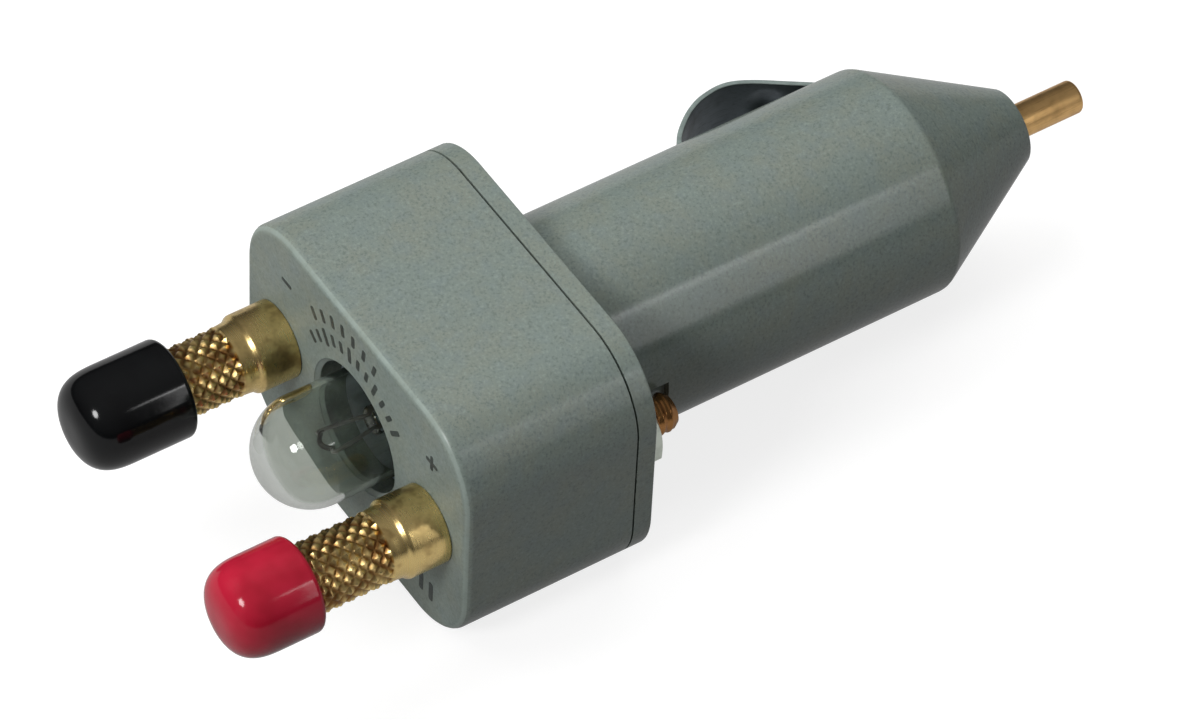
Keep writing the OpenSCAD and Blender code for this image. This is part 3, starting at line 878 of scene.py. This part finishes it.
@dataclass
class PrintedMarks:
    """Plain ticks round the lamp, a plus, a minus and two bars, printed on the head's front.

    A row of ticks is its count, radius, first angle and the lengths that its ticks take in turn.
    A bar is its middle along X and along Z, its turn in degrees, its length and its width.
    """

    front: float
    rows: tuple[tuple[int, float, float, tuple[float, ...]], ...] = (
        (12, 8.5, 42.0, (1.7, 1.2, 1.2)), (7, 10.6, 74.0, (1.3,)))
    tick_step: float = 9.0
    tick_width: float = 0.5
    minus: tuple[float, ...] = (-10.9, 7.9, 0.0, 1.5, 0.4)
    bars: tuple[tuple[float, ...], ...] = (
        (10.9, -8.6, 90.0, 2.2, 0.6), (12.4, -8.6, 90.0, 2.2, 0.6))
    plus: tuple[tuple[float, ...], ...] = (
        (12.0, 7.6, 0.0, 1.7, 0.42), (12.0, 7.6, 90.0, 1.7, 0.42))
    skin: float = 0.025
    end_round: float = 0.35

    def ticks(self) -> Iterator[tuple[float, ...]]:
        """Give the bar of each tick."""
        for count, radius, start, lengths in self.rows:
            for k in range(count):
                angle = start + self.tick_step * k
                turn = math.radians(angle)
                yield (radius * math.cos(turn), radius * math.sin(turn), angle,
                       lengths[k % len(lengths)], self.tick_width)

    def bar(self, x: float, z: float, angle: float, length: float, width: float) -> Part:
        """Make one printed bar on the front face.

        Args:
            x: Its middle along X.
            z: Its middle along Z.
            angle: The angle of its length from X, in degrees.
            length: Its length.
            width: Its width.

        Returns:
            The bar.
        """
        part = block("mark", (-length / 2, -self.skin, -width / 2),
                     (length / 2, self.skin / 2, width / 2))
        with editing(part):
            round_edges(part, runs_along_y, width * self.end_round, 3)
            choose_all()
            bpy.ops.transform.translate(value=(x * MM, self.front * MM, z * MM))
        there = Matrix.Translation(Vector((x, 0, z)) * MM)
        back = Matrix.Translation(Vector((-x, 0, -z)) * MM)
        part.matrix_world = there @ Matrix.Rotation(-math.radians(angle), 4, "Y") @ back
        settle(part)
        return part

    def printed(self) -> Part:
        """Print all marks as one piece."""
        plus = self.bar(*self.plus[0])
        combine(plus, self.bar(*self.plus[1]), Cut.JOIN)
        others = [self.bar(*bar) for bar in (*self.ticks(), self.minus, *self.bars)]
        return hand_over(smooth(join("front_marks", [plus, *others])), INK)


@dataclass
class Plug:
    """The cover plate with the plug's barrel and nose, moulded in one."""

    head: Head
    plate: float = 1.8
    plate_edge: float = 0.2
    lip: float = 1.5
    lip_inset: float = 2.15
    lip_wall: float = 1.2
    notch: tuple[Place, Place] = ((-20, -5, -4.07), (20, -1.805, 4.07))
    middle: Point = (-3, 1)
    middle_room: float = 0.3
    barrel_r: float = 10.5
    barrel_end: float = 36.0
    barrel_start: float = -1.79
    knee: tuple[Point, ...] = ((0, -0.35), (-0.03, -0.1), (-0.12, 0.12))
    nose_end: float = 48.4
    nose_r: float = 3.45
    nose_round: float = 0.35
    bore_r: float = 7.1
    bore_end: float = 34.0
    tube_r: float = 4.4
    tube_bore_r: float = 3.2
    tube_start: float = 1.4
    tube_end: float = 45.2
    pin_hole_r: float = 1.81
    pin_hole_edge: float = 0.15
    edge: float = 0.12
    stud_room: tuple[Point, ...] = (
        (0, -4), (1.9, -4), (1.9, -0.01), (3.896, -0.01), (3.896, 2.9), (2.1, 2.9), (2.1, 6.0),
        (0, 6.0))
    slots: tuple[tuple[Place, Place], ...] = (
        ((-21, 18.2, -3.4), (-8.2, 37.4, 3.4)), ((-20, 18.2, -3.4), (-5.4, 34.0, 3.4)))

    def cover_plate(self) -> Part:
        """Make the cover plate with the lip that centres it in the head."""
        part = self.head.outline_block("plug_moulding", -self.plate, 0.0)
        with editing(part):
            round_edges(part, ends_at(0.0), self.plate_edge, 3)
            choose(part, Pick.FACES, lambda f: f.normal.y < -0.99)
            self.head.step(self.lip_inset, -self.lip)
            self.head.step(self.lip_wall, self.lip)
        combine(part, block("notch_cut", *self.notch))
        hole = self.bore_r + self.middle_room
        low, high = self.middle
        combine(part, turned("middle_cut", [(0, low), (hole, low), (hole, high), (0, high)]))
        return part

    def barrel(self) -> Part:
        """Turn the barrel, its conical nose and the inner tube in one closed profile."""
        r, end, nose = self.barrel_r, self.barrel_end, self.nose_end
        slope = math.degrees(math.atan2(nose - end, r - self.nose_r))
        edge, bore = self.pin_hole_edge, self.tube_bore_r
        return turned("barrel", [
            (r, self.barrel_start), *((r + out, end + along) for out, along in self.knee),
            *arc((self.nose_r - 0.05, nose - self.nose_round), self.nose_round,
                 90 - slope * 0.5, 90, 3),
            (self.pin_hole_r + edge, nose), (self.pin_hole_r, nose - edge),
            (self.pin_hole_r, self.tube_end), (bore, self.tube_end), (bore, self.tube_start),
            (self.tube_r, self.tube_start), (self.tube_r, self.bore_end),
            (self.bore_r, self.bore_end), (self.bore_r, self.barrel_start)], 144)

    def moulding(self) -> Part:
        """Build the whole moulding, with its nut pockets, stud grooves and contact slot."""
        part = self.cover_plate()
        combine(part, self.barrel(), Cut.JOIN)
        for side in (-1, 1):
            combine(part, turned("stud_room", self.stud_room, 64, side * self.head.post_x))
        for low, high in self.slots:
            combine(part, block("slot_cut", low, high))
        clean_up(part)
        break_edges(part, self.edge)
        return hand_over(smooth(part, weighted=True), PLASTIC, "plug_body")


@dataclass
class TestPost:
    """A turned post with its knurl, collar and stud, its cap and its nuts."""

    colour: str
    x: float
    cap_body: Body
    cap_finish: Finish
    cap_r: float
    cap_length: float
    cap_fullness: float = 3.1
    cap_end: float = 2.9
    cap_rim: float = 0.5
    cap_room: float = 0.05
    front: float = -18.7
    end: float = -36.3
    end_edge: float = 0.3
    knurl_r: float = 3.2
    knurl_depth: float = 0.33
    knurl_flat: float = 0.12
    knurl_around: int = 14
    knurl_along: int = 10
    knurl_pitch: float = 1.2
    knurl_steps: int = 14
    collar_r: float = 3.6
    collar_edge: float = 0.12
    neck: tuple[Point, ...] = (
        (3.1, -23.98), (3.16, -23.8), (3.19, -23.4), (3.22, -23.05), (3.26, -22.82),
        (3.33, -22.66), (3.44, -22.52), (3.54, -22.4), (3.59, -22.26), (3.6, -22.1))
    stud_r: float = 1.75
    stud_end: float = 5.2
    stud_edge: float = 0.4
    thread_start: float = -1.6
    thread_pitch: float = 0.79
    thread_depth: float = 0.16
    thread_cuts: int = 63
    nut_across: float = 6.35
    nut_thick: float = 2.4
    nut_edge: float = 0.36
    nut_room: float = 0.02
    nut_sink: float = 0.25

    def fine_line(self, part: Part, a: float, b: float, cuts: int) -> None:
        """Divide the profile's long edge between two places so that a relief can follow it.

        Args:
            part: The part that holds the profile.
            a: The edge's first place along Y.
            b: Its second place.
            cuts: How many cuts are made.
        """
        with editing(part):
            choose(part, Pick.EDGES, lambda e: sorted(round(c.co.y / MM, 3) for c in e.verts)
                   == [round(a, 3), round(b, 3)])
            bpy.ops.mesh.subdivide(number_cuts=cuts)

    def relief(self, place: Vector) -> float:
        """Give how deep the knurl or the thread goes at a corner, from 0 to 1."""
        x, y, z = (v / MM for v in place)
        turn = math.atan2(z, x - self.x) / TURN
        radius = math.hypot(x - self.x, z)
        along = (y - self.end - self.end_edge) / self.knurl_pitch
        if 0.02 < along < self.knurl_along - 0.02 and radius > self.knurl_r - 0.01:
            around = self.knurl_around * turn
            low = 1 - min(triangle_wave(around + along), triangle_wave(around - along))
            return max(0.0, low - self.knurl_flat) / (1 - self.knurl_flat)
        if y > self.thread_start and radius > self.stud_r - 0.01:
            flank = 1 - triangle_wave(y / self.thread_pitch - turn)
            return self.thread_depth / self.knurl_depth * min(1.0, max(0.0, flank * 1.3 - 0.15))
        return 0.0

    def post(self) -> Part:
        """Turn the post and press its knurl and its thread into it."""
        start = self.end + self.end_edge
        stop = start + self.knurl_along * self.knurl_pitch
        stud, tip, edge, collar = self.stud_r, self.stud_end, self.stud_edge, self.collar_edge
        profile = [
            (0, self.end), (self.knurl_r - 0.35, self.end), (self.knurl_r, start),
            (self.knurl_r, stop), *self.neck, (self.collar_r, self.front - collar),
            (self.collar_r - collar, self.front), (stud, self.front), (stud, self.thread_start),
            (stud, tip - edge), (stud - edge, tip), (0, tip)]
        node = self.colour + "_post"
        part = line(node + "_turned", [Vector((self.x + r, y, 0)) * MM for r, y in profile])
        self.fine_line(part, start, stop, self.knurl_along * self.knurl_steps - 1)
        self.fine_line(part, self.thread_start, tip - edge, self.thread_cuts)
        spin(part, self.knurl_around * self.knurl_steps, self.x)
        raise_relief(part, self.knurl_depth, self.relief)
        return hand_over(smooth(part, 28.0), POST_BRASS, node)

    def cap(self) -> Part:
        """Turn the dipped cap with its round end, its bore and its rolled rim."""
        r, rim = self.cap_r, self.cap_rim
        start = self.end - self.cap_end
        stop = start + self.cap_length
        bore = self.knurl_r + self.cap_room
        floor = self.end - self.cap_room
        power = 2 / self.cap_fullness
        turns = [math.radians(90 * i / 28) for i in range(29)]
        node = self.colour + "_cap"
        part = turned(node + "_dipped", [
            *((r * math.sin(t) ** power, start + r - r * max(0.0, math.cos(t)) ** power)
              for t in turns),
            *arc((r - rim, stop - rim), rim, 0, 90, 6), (bore + 0.25, stop),
            (bore + 0.07, stop - 0.07), (bore, stop - 0.25), (bore, floor), (0, floor)],
            96, self.x)
        return hand_over(smooth(part, 50.0), self.cap_finish, node, body=self.cap_body)

    def nut(self, y: float, turn: float) -> Part:
        """Make one hexagon nut with chamfered corners and a chamfered bore.

        Args:
            y: The place of its first face.
            turn: How far it is turned about the stud, in degrees.

        Returns:
            The nut.
        """
        thick, edge = self.nut_thick, self.nut_edge
        corner = self.nut_across / 2 / math.cos(math.pi / 6)
        part = primitive("nut", "cylinder", vertices=6, radius=corner * MM, depth=thick * MM,
                         location=(self.x * MM, (y + thick / 2) * MM, 0),
                         rotation=(math.pi / 2, math.radians(90 + turn), 0))
        top = y + thick
        flat = self.nut_across / 2 - 0.05
        form = turned("nut_form", [
            (0, y - 0.001), (flat, y - 0.001), (corner + 0.05, y + edge),
            (corner + 0.05, top - edge), (flat, top + 0.001), (0, top + 0.001)], 72, self.x)
        combine(part, form, Cut.KEEP_SHARED)
        bore, sink = self.stud_r + self.nut_room, self.nut_sink
        combine(part, turned("nut_hole", [
            (0, y - PAST), (bore + sink + PAST, y - PAST), (bore, y + sink), (bore, top - sink),
            (bore + sink + PAST, top + PAST), (0, top + PAST)], 48, self.x))
        clean_up(part)
        return smooth(part, 25.0, weighted=True)


@dataclass
class Nuts:
    """The nuts on both posts' studs: two behind the cover plate and three inside the head."""

    black: TestPost
    red: TestPost
    rear: float = 0.02
    rear_turn: float = 15.0
    inner_turn: float = 30.0
    black_inner: tuple[float, float] = (-15.66, -4.64)
    red_inner: float = -15.24

    def fit(self) -> None:
        """Make the rear pair and the inner set."""
        rear = [post.nut(self.rear, self.rear_turn) for post in (self.black, self.red)]
        wall, plate = self.black_inner
        inner = [post.nut(y, self.inner_turn) for post, y in (
            (self.black, wall), (self.red, self.red_inner), (self.black, plate))]
        hand_over(join("rear_nut_pair", rear), NUT_NICKEL, "rear_nuts")
        hand_over(join("inner_nut_set", inner), POST_BRASS, "inner_nuts")


@dataclass
class CentreContact:
    """The sprung centre pin with the coil behind it."""

    pin_r: float = 1.55
    guide_r: float = 1.75
    shoulder_r: float = 2.95
    shoulder_edge: float = 0.06
    spigot_r: float = 1.8
    spigot_edge: float = 0.3
    tip: float = 55.6
    nose_end: float = 48.4
    shoulder_end: float = 45.18
    shoulder_start: float = 44.18
    spigot_start: float = 40.98
    end_round: float = 0.35
    coil_r: float = 2.525
    wire_r: float = 0.275
    coil_start: float = 2.735
    coil_end: float = 43.885
    turns: int = 19
    turn_steps: int = 20

    def pin(self) -> Part:
        """Turn the pin with its rounded tip and its shoulder."""
        p, g, s, h = self.pin_r, self.guide_r, self.spigot_r, self.shoulder_r
        low, high, tip, end = self.shoulder_start, self.shoulder_end, self.tip, self.end_round
        edge, lead = self.shoulder_edge, self.spigot_edge
        part = turned("centre_pin_turned", [
            (0, self.spigot_start), (s - lead, self.spigot_start), (s, self.spigot_start + lead),
            (s, low), (h - edge, low), (h, low + edge), (h, high - edge), (h - edge, high),
            (g, high), (g, self.nose_end - 0.1), (p, self.nose_end + 0.05),
            *arc((p - end, tip - end), end, 0, 78, 5),
            (p - end - 0.35, tip - 0.02), (0.4, tip), (0, tip)], 72)
        return hand_over(smooth(part, 30.0), PIN_COPPER, "centre_pin", body=Body.PIN)

    def coil(self) -> Part:
        """Wind the coil from round wire with a Screw modifier and close its ends."""
        part = primitive("pin_spring_coil", "circle", vertices=8, radius=self.wire_r * MM,
                         location=(self.coil_r * MM, self.coil_start * MM, 0))
        change(part, "SCREW", axis="Y", angle=TURN, iterations=self.turns,
               screw_offset=(self.coil_end - self.coil_start) / self.turns * MM,
               steps=self.turn_steps, render_steps=self.turn_steps)
        with editing(part):
            bpy.ops.mesh.select_mode(type="EDGE")
            bpy.ops.mesh.select_all(action="DESELECT")
            bpy.ops.mesh.select_non_manifold()
            bpy.ops.mesh.fill_holes(sides=16)
        clean_up(part)
        hand_over(smooth(part, 60.0), SPRING_STEEL, "pin_spring")
        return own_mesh(part)


@dataclass
class SideContact:
    """The bowed strip in the barrel's slot.

    The shares give the bow's outline, as how far along its length and how far out of its rise.
    The margins say how near to the strip's sides the finishes of edge and inside reach; the inside
    is a darker copy of the nickel, as painted shade.
    """

    width: float = 6.0
    thick: float = 0.45
    edge: float = 0.09
    edge_margin: float = 0.12
    shaded_inside_margin: float = 0.05
    rows: int = 24
    foot_x: float = -6.145
    foot_y: float = 18.7
    bow_y: float = 19.8
    bow_length: float = 17.1
    rise: float = 8.63
    dimple: Place = (-13.05, 31.77, 0.5)
    dimple_r: float = 1.8
    dimple_height: float = 0.5
    shares: tuple[Point, ...] = (
        (0, 0), (.03, .22), (.06, .49), (.1, .63), (.16, .75), (.24, .87), (.32, .95),
        (.39, .985), (.46, 1), (.52, .985), (.58, .94), (.66, .85), (.77, .7), (.88, .55),
        (.97, .42), (.99, .38), (1, .32))

    def centre_line(self) -> list[Vector]:
        """Give the strip's centre line as a smooth run of points, in metres."""
        knots = [Vector((self.foot_x, self.foot_y, 0))]
        knots += [Vector((self.foot_x - out * self.rise, self.bow_y + along * self.bow_length, 0))
                  for along, out in self.shares]
        points = [knots[0]]
        for i in range(len(knots) - 1):
            a, b = knots[i], knots[i + 1]
            before, after = knots[max(i - 1, 0)], knots[min(i + 2, len(knots) - 1)]
            span = (b - a).length
            lead = (b - before).normalized() * span
            trail = (after - a).normalized() * span
            for t in (0.25, 0.5, 0.75, 1.0):
                points.append(a * (2 * t**3 - 3 * t**2 + 1) + lead * (t**3 - 2 * t**2 + t)
                              + b * (3 * t**2 - 2 * t**3) + trail * (t**3 - t**2))
        return [p * MM for p in points]

    def dimple_share(self, place: Vector) -> float:
        """Give how far the round dimple lifts a corner, from 0 to 1."""
        x, y, z = self.dimple
        away = math.hypot((place.x / MM - x), place.y / MM - y)
        away = math.hypot(away, place.z / MM - z) / self.dimple_r
        return 0.0 if away >= 1 else (1 - away * away) ** 1.5

    def sheet(self) -> Part:
        """Draw the bow and widen it into a sheet whose faces look away from the plug's axis."""
        down = Vector((0, 0, self.width / 2 * MM))
        part = line("side_contact_strip", [p - down for p in self.centre_line()])
        with editing(part):
            choose_all()
            bpy.ops.mesh.extrude_region_move(
                TRANSFORM_OT_translate={"value": (0, 0, self.width * MM)})
            choose(part, Pick.EDGES,
                   lambda e: abs(e.verts[0].co.z - e.verts[1].co.z) > 0.9 * self.width * MM)
            bpy.ops.mesh.subdivide(number_cuts=self.rows - 1)
            choose_all()
            bpy.ops.mesh.normals_make_consistent(inside=False)
        if max(part.data.polygons, key=lambda f: -f.center.x).normal.x > 0:
            with editing(part):
                choose_all()
                bpy.ops.mesh.flip_normals()
        return part

    def strip(self) -> Part:
        """Press the sheet's dimple, give it its thickness, darken its inside with painted shade and
        dress its edges.
        """
        part = self.sheet()
        raise_relief(part, -self.dimple_height, self.dimple_share)
        change(part, "SOLIDIFY", thickness=self.thick * MM, offset=0.0)
        clean_up(part)
        break_edges(part, self.edge, 60.0)
        hand_over(smooth(part, 40.0, weighted=True), LEAF_NICKEL, "side_contact")
        for finish in (LEAF_INSIDE_SHADE, LEAF_EDGE):
            part.data.materials.append(finish.material())
        half = self.width / 2
        # Painted shade: faces turned towards the barrel get the darker inside finish; the sides get
        # the edge finish.
        for face in part.data.polygons:
            aside = abs(face.center.z)
            if abs(face.normal.z) > 0.3 and aside > (half - self.edge_margin) * MM:
                face.material_index = 2
            elif face.normal.x > 0.15 and aside < (half - self.shaded_inside_margin) * MM:
                face.material_index = 1
        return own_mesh(part)


@dataclass
class Lamp:
    """The small clear lamp with its bayonet base."""

    dome: float = -28.1
    radius: float = 5.05
    glass: float = 0.5
    tip_extra: float = 0.7
    body_end: float = -15.0
    neck_start: float = -12.9
    neck_end: float = -11.5
    neck_r: float = 4.1
    base_r: float = 4.6
    base_end: float = -3.0
    base_hole: float = 3.1
    base_wall: float = 1.0
    pin_y: float = -8.0
    pin_r: float = 0.8
    pin_length: float = 1.3
    pin_reach: float = 5.6
    pin_edge: float = 0.15
    stem_r: float = 1.3
    stem_top: float = -17.3
    stem_round: float = 0.45
    lead_top: float = -21.5
    lead_gap: float = 1.3
    lead_r: float = 0.2
    lead_line: tuple[Point, ...] = (
        (0.6, -16.0), (0.75, -17.2), (0.98, -18.6), (1.18, -20.0), (1.28, -21.0), (1.32, -21.35),
        (1.24, -21.56), (1.08, -21.5))
    coils: int = 14
    coil_steps: int = 10
    coil_r: float = 0.22
    wire_r: float = 0.05
    arch: float = 0.7

    def wall_line(self, inset: float) -> list[Point]:
        """Give the glass's outside, or its inside when drawn in, from the dome to the neck.

        Args:
            inset: How far the line is drawn in.

        Returns:
            The line as (radius, y) points.
        """
        r, n = self.radius - inset, self.neck_r - inset
        thick = inset / self.glass * self.tip_extra
        middle, start = self.dome + self.radius, self.neck_start
        points = [(a, b + thick * max(0.0, (middle - b) / self.radius) ** 2)
                  for a, b in arc((0, middle), r, -90, 0, 28)]
        points += [(r, self.body_end - 0.6), (r - 0.05, self.body_end - 0.1)]
        points += [(r + (n - r) * t, self.body_end + (start - self.body_end) * t)
                   for t in (0.25, 0.5, 0.75)]
        return points + [(n + 0.04, start - 0.2), (n, start + 0.2), (n, self.neck_end)]

    def envelope(self) -> Part:
        """Blow the glass as a closed wall, thicker at the dome."""
        wall = self.wall_line(0.0) + self.wall_line(self.glass)[::-1]
        return hand_over(smooth(turned("lamp_envelope", wall), 40.0), GLASS, "bulb_glass")

    def stem(self) -> Part:
        """Press the glass stem that holds the leads."""
        r, top, start, end = self.stem_r, self.stem_top, self.neck_start, self.stem_round
        foot = self.neck_r - self.glass - 0.03
        part = turned("lamp_stem", [
            (0, top), *arc((r - end, top + end), end, -80, 0, 5), (r, start - 1.4),
            (r + 0.25, start - 0.9), (foot - 0.6, start - 0.1), (foot, start + 0.3),
            (foot, start + 1.28), (0, start + 1.28)], 48)
        return hand_over(smooth(part, 40.0), GLASS, "bulb_stem")

    def wire(self, name: str, points: Sequence[Point | Place], radius: float, sides: int) -> Part:
        """Sweep a round wire along points by drawing its line and giving it a skin of its own.

        Args:
            name: The new part's name.
            points: The wire's line.
            radius: The wire's radius.
            sides: How many sides its section has.

        Returns:
            The wire as a closed mesh.
        """
        take(line(name, [Vector(p).to_3d() * MM for p in points]))
        bpy.ops.object.convert(target="CURVE")
        curve = bpy.context.object.data
        curve.bevel_depth = radius * MM
        curve.bevel_resolution = max(0, sides // 2 - 2)
        curve.use_fill_caps = True
        bpy.ops.object.convert(target="MESH")
        part = bpy.context.object
        clean_up(part)
        return part

    def leads(self) -> Part:
        """Bend the two leads, hooked over the filament's ends."""
        wires = [self.wire("lead", [(side * x, y) for x, y in self.lead_line], self.lead_r * 0.9, 8)
                 for side in (-1, 1)]
        return hand_over(smooth(join("lamp_leads", wires), 50.0), LEAD_STEEL, "bulb_leads")

    def filament(self) -> Part:
        """Wind the filament's fine coil in its low arch between the leads."""
        count = self.coils * self.coil_steps
        reach = self.lead_gap - self.lead_r - 0.02
        points = []
        for i in range(count + 1):
            share, turn = i / count, TURN * i / self.coil_steps
            drop = self.lead_top + self.coil_r - self.arch * math.sin(math.pi * share)
            points.append((reach * (2 * share - 1), drop + self.coil_r * math.cos(turn),
                           self.coil_r * math.sin(turn)))
        part = self.wire("lamp_filament", points, self.wire_r, 6)
        return hand_over(smooth(part, 60.0), COIL_STEEL, "bulb_filament")

    def base(self) -> Part:
        """Draw the brass base with its rolled lip, its closed end and its two pins."""
        r, n = self.base_r, self.neck_r + 0.02
        top, end, hole, inner = self.neck_start, self.base_end, self.base_hole, self.base_wall
        part = turned("lamp_base", [
            (n, top + 0.1), (n + 0.1, top), (r - 0.12, top), (r, top + 0.12), (r, end - 0.45),
            (r - 0.13, end - 0.13), (r - 0.45, end), (hole, end), (hole - 0.1, end - 0.1),
            (hole - 0.1, end - inner), (n - 0.2, end - inner), (n, end - inner - 0.2)])
        for side in (-1, 1):
            pin = primitive(
                "pin", "cylinder", vertices=32, radius=self.pin_r * MM, depth=self.pin_length * MM,
                location=(0, self.pin_y * MM, side * (self.pin_reach - self.pin_length / 2) * MM))
            with editing(pin):
                round_edges(pin, ends_at(side * self.pin_reach, 2), self.pin_edge, 3)
            combine(part, pin, Cut.JOIN)
        clean_up(part)
        return hand_over(smooth(part, weighted=True), BASE_BRASS, "bulb_base")


class InnerPieces:
    """The strips, washers and seats inside, whose solids are right as they are."""

    finishes: dict[str, Finish] = {
        "spring_button": BUTTON_BRASS, "button_cap": FIBRE, "ground_strip": SHEET_BRASS,
        "lamp_bracket": TINNED_BRASS, "lamp_socket": TINNED_BRASS, "bulb_insulator": FIRED_GLASS,
        "bulb_tip": SOLDER, "lock_washers": SPRING_STEEL}

    def dress(self) -> None:
        """Give every kept solid its finish."""
        for node, finish in self.finishes.items():
            finish.put_on(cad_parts[node])
            LOG.info("%s: solid kept, finished as %s", node, finish.name)


# Studio


def placed(place: Vector, back: Vector, up: Vector) -> Matrix:
    """Give the matrix of a light or a camera, which look along their own -Z.

    Args:
        place: Where it stands, in metres.
        back: The direction that it looks away from.
        up: The direction of its own Y, as near as it can be.

    Returns:
        The matrix.
    """
    right = up.cross(back).normalized()
    turn = Matrix((right, back.cross(right), back)).transposed().to_4x4()
    return Matrix.Translation(place) @ turn


@dataclass
class SoftLight:
    """A studio light, named by where it stands as seen from the tester."""

    name: str
    direction: Place
    size: tuple[float, float]
    level: float
    distance: float = 0.6
    mirrored: bool = False

    def hang(self) -> None:
        """Hang the light and aim it at the tester."""
        data = bpy.data.lights.new(self.name, "AREA")
        data.shape = "ELLIPSE" if self.size[0] == self.size[1] else "RECTANGLE"
        data.size, data.size_y = self.size
        data.energy = self.level * math.pi**2 * self.distance**2
        light = bpy.data.objects.new(self.name, data)
        light.visible_glossy = light.visible_transmission = self.mirrored
        bpy.context.scene.collection.objects.link(light)
        towards = Vector(self.direction).normalized()
        long_side = Vector((-towards.z, 0, towards.x))
        light.matrix_world = placed(towards * self.distance, towards, long_side)
        LOG.info("light %s at level %.2f", self.name, self.level)


@dataclass
class Studio:
    """The plain floor, the lights, the surroundings and the camera.

    The mirrored shares say how much of the white floor metal and glass show. The room is given
    as how high and how bright, from below to overhead.
    """

    floor_z: float = -12.87
    floor_size: float = 4.0
    floor_matt: float = 0.1
    floor_pale: float = 0.3
    floor_glow: float = 0.8
    mirrored_share: float = 0.36
    through_share: float = 0.08
    room: tuple[Point, ...] = ((0.0, 0.015), (0.16, 0.02), (0.2, 0.06), (0.6, 0.14), (1.0, 0.26))
    lens: float = 214.6
    sensor: float = 36.0
    camera_place: Place = (329.97, -227.95, 455.40)
    up: Place = (-0.6455, 0.3912, 0.6560)
    look_at: Place = (5.326, 2.387, 1.488)
    lights: list[SoftLight] = field(default_factory=lambda: [
        SoftLight("front_key", (0.19, -0.73, 0.66), (0.16, 0.16), 0.39, mirrored=True),
        SoftLight("low_front_fill", (0.3, -0.95, 0.1), (0.3, 0.3), 0.28),
        SoftLight("far_side_fill", (-0.48, -0.52, 0.71), (0.45, 0.45), 0.69),
        SoftLight("ceiling_bounce", (-0.35, 0.4, 0.85), (0.5, 0.5), 0.43),
        SoftLight("side_window", (0.799, 0.425, 0.441), (0.07, 0.36), 0.062, mirrored=True),
        SoftLight("window_sill", (0.65, 0.37, 0.67), (0.12, 0.03), 0.02, mirrored=True)])

    def floor(self) -> None:
        """Lay the pale floor, which looks white and keeps the tester's shadow."""
        put_down_all()
        bpy.ops.mesh.primitive_plane_add(size=self.floor_size, location=(0, 0, self.floor_z * MM))
        part = bpy.context.object
        part.name = "studio_floor"
        material = bpy.data.materials.new("studio_floor")
        material.use_nodes = True
        sheet = NodeSheet(material.node_tree)
        seen = sheet.ray("Camera") + self.mirrored_share * sheet.ray("Glossy") \
            + self.through_share * sheet.ray("Transmission")
        matt = sheet.add("ShaderNodeBsdfDiffuse", None, {"Color": grey(self.floor_matt)})
        pale = sheet.add("ShaderNodeBsdfDiffuse", None, {"Color": grey(self.floor_pale)})
        glow = sheet.add("ShaderNodeEmission", None,
                         {"Color": grey(1.0), "Strength": self.floor_glow})
        both = sheet.add("ShaderNodeAddShader", None, {0: pale.outputs[0], 1: glow.outputs[0]})
        mixed = sheet.add("ShaderNodeMixShader", None,
                          {0: seen, 1: matt.outputs[0], 2: both.outputs[0]})
        sheet.add("ShaderNodeOutputMaterial", None, {"Surface": mixed.outputs[0]})
        part.data.materials.append(material)

    def surroundings(self) -> None:
        """Set the room round the table: pale overhead, dark near the horizon, white when seen."""
        world = bpy.data.worlds.new("studio")
        bpy.context.scene.world = world
        world.use_nodes = True
        sheet = NodeSheet(world.node_tree)
        ahead = sheet.add("ShaderNodeTexCoord").outputs["Generated"]
        height = sheet.axes(ahead)[2]
        room = sheet.add("ShaderNodeValToRGB", {"stops": self.room}, {"Fac": height})
        colour = sheet.blend(sheet.ray("Camera"), room.outputs[0], grey(1.0))
        back = sheet.add("ShaderNodeBackground", None, {"Color": colour, "Strength": 1.0})
        sheet.add("ShaderNodeOutputWorld", None, {"Surface": back.outputs[0]})

    def camera(self) -> None:
        """Set the camera where the photograph was taken from."""
        data = bpy.data.cameras.new("camera")
        data.lens = self.lens
        data.sensor_width = self.sensor
        data.sensor_fit = "HORIZONTAL"
        data.clip_start, data.clip_end = 0.01, 10.0
        camera = bpy.data.objects.new("camera", data)
        bpy.context.scene.collection.objects.link(camera)
        place = Vector(self.camera_place)
        back = (place - Vector(self.look_at)).normalized()
        camera.matrix_world = placed(place * MM, back, Vector(self.up))
        bpy.context.scene.camera = camera

    def set_up(self) -> None:
        """Set up everything round the tester."""
        bpy.context.scene.view_settings.view_transform = "Standard"
        self.camera()
        self.floor()
        self.surroundings()
        for light in self.lights:
            light.hang()


def main() -> None:
    """Build the tester piece by piece and set up its studio."""
    logging.basicConfig(level=logging.INFO, format="%(name)s: %(message)s")
    Studio().set_up()
    head = Head()
    head.shell()
    PrintedMarks(head.front).printed()
    Plug(head).moulding()
    black = TestPost("black", -head.post_x, Body.BLACK_CAP, BLACK_VINYL, cap_r=4.5, cap_length=9.9)
    red = TestPost("red", head.post_x, Body.RED_CAP, RED_VINYL, cap_r=4.35, cap_length=8.0)
    for post in (black, red):
        post.post()
        post.cap()
    Nuts(black, red).fit()
    contact = CentreContact()
    contact.pin()
    contact.coil()
    SideContact().strip()
    lamp = Lamp()
    for piece in (lamp.envelope, lamp.stem, lamp.leads, lamp.filament, lamp.base):
        piece()
    InnerPieces().dress()


if __name__ == "__main__":
    main()
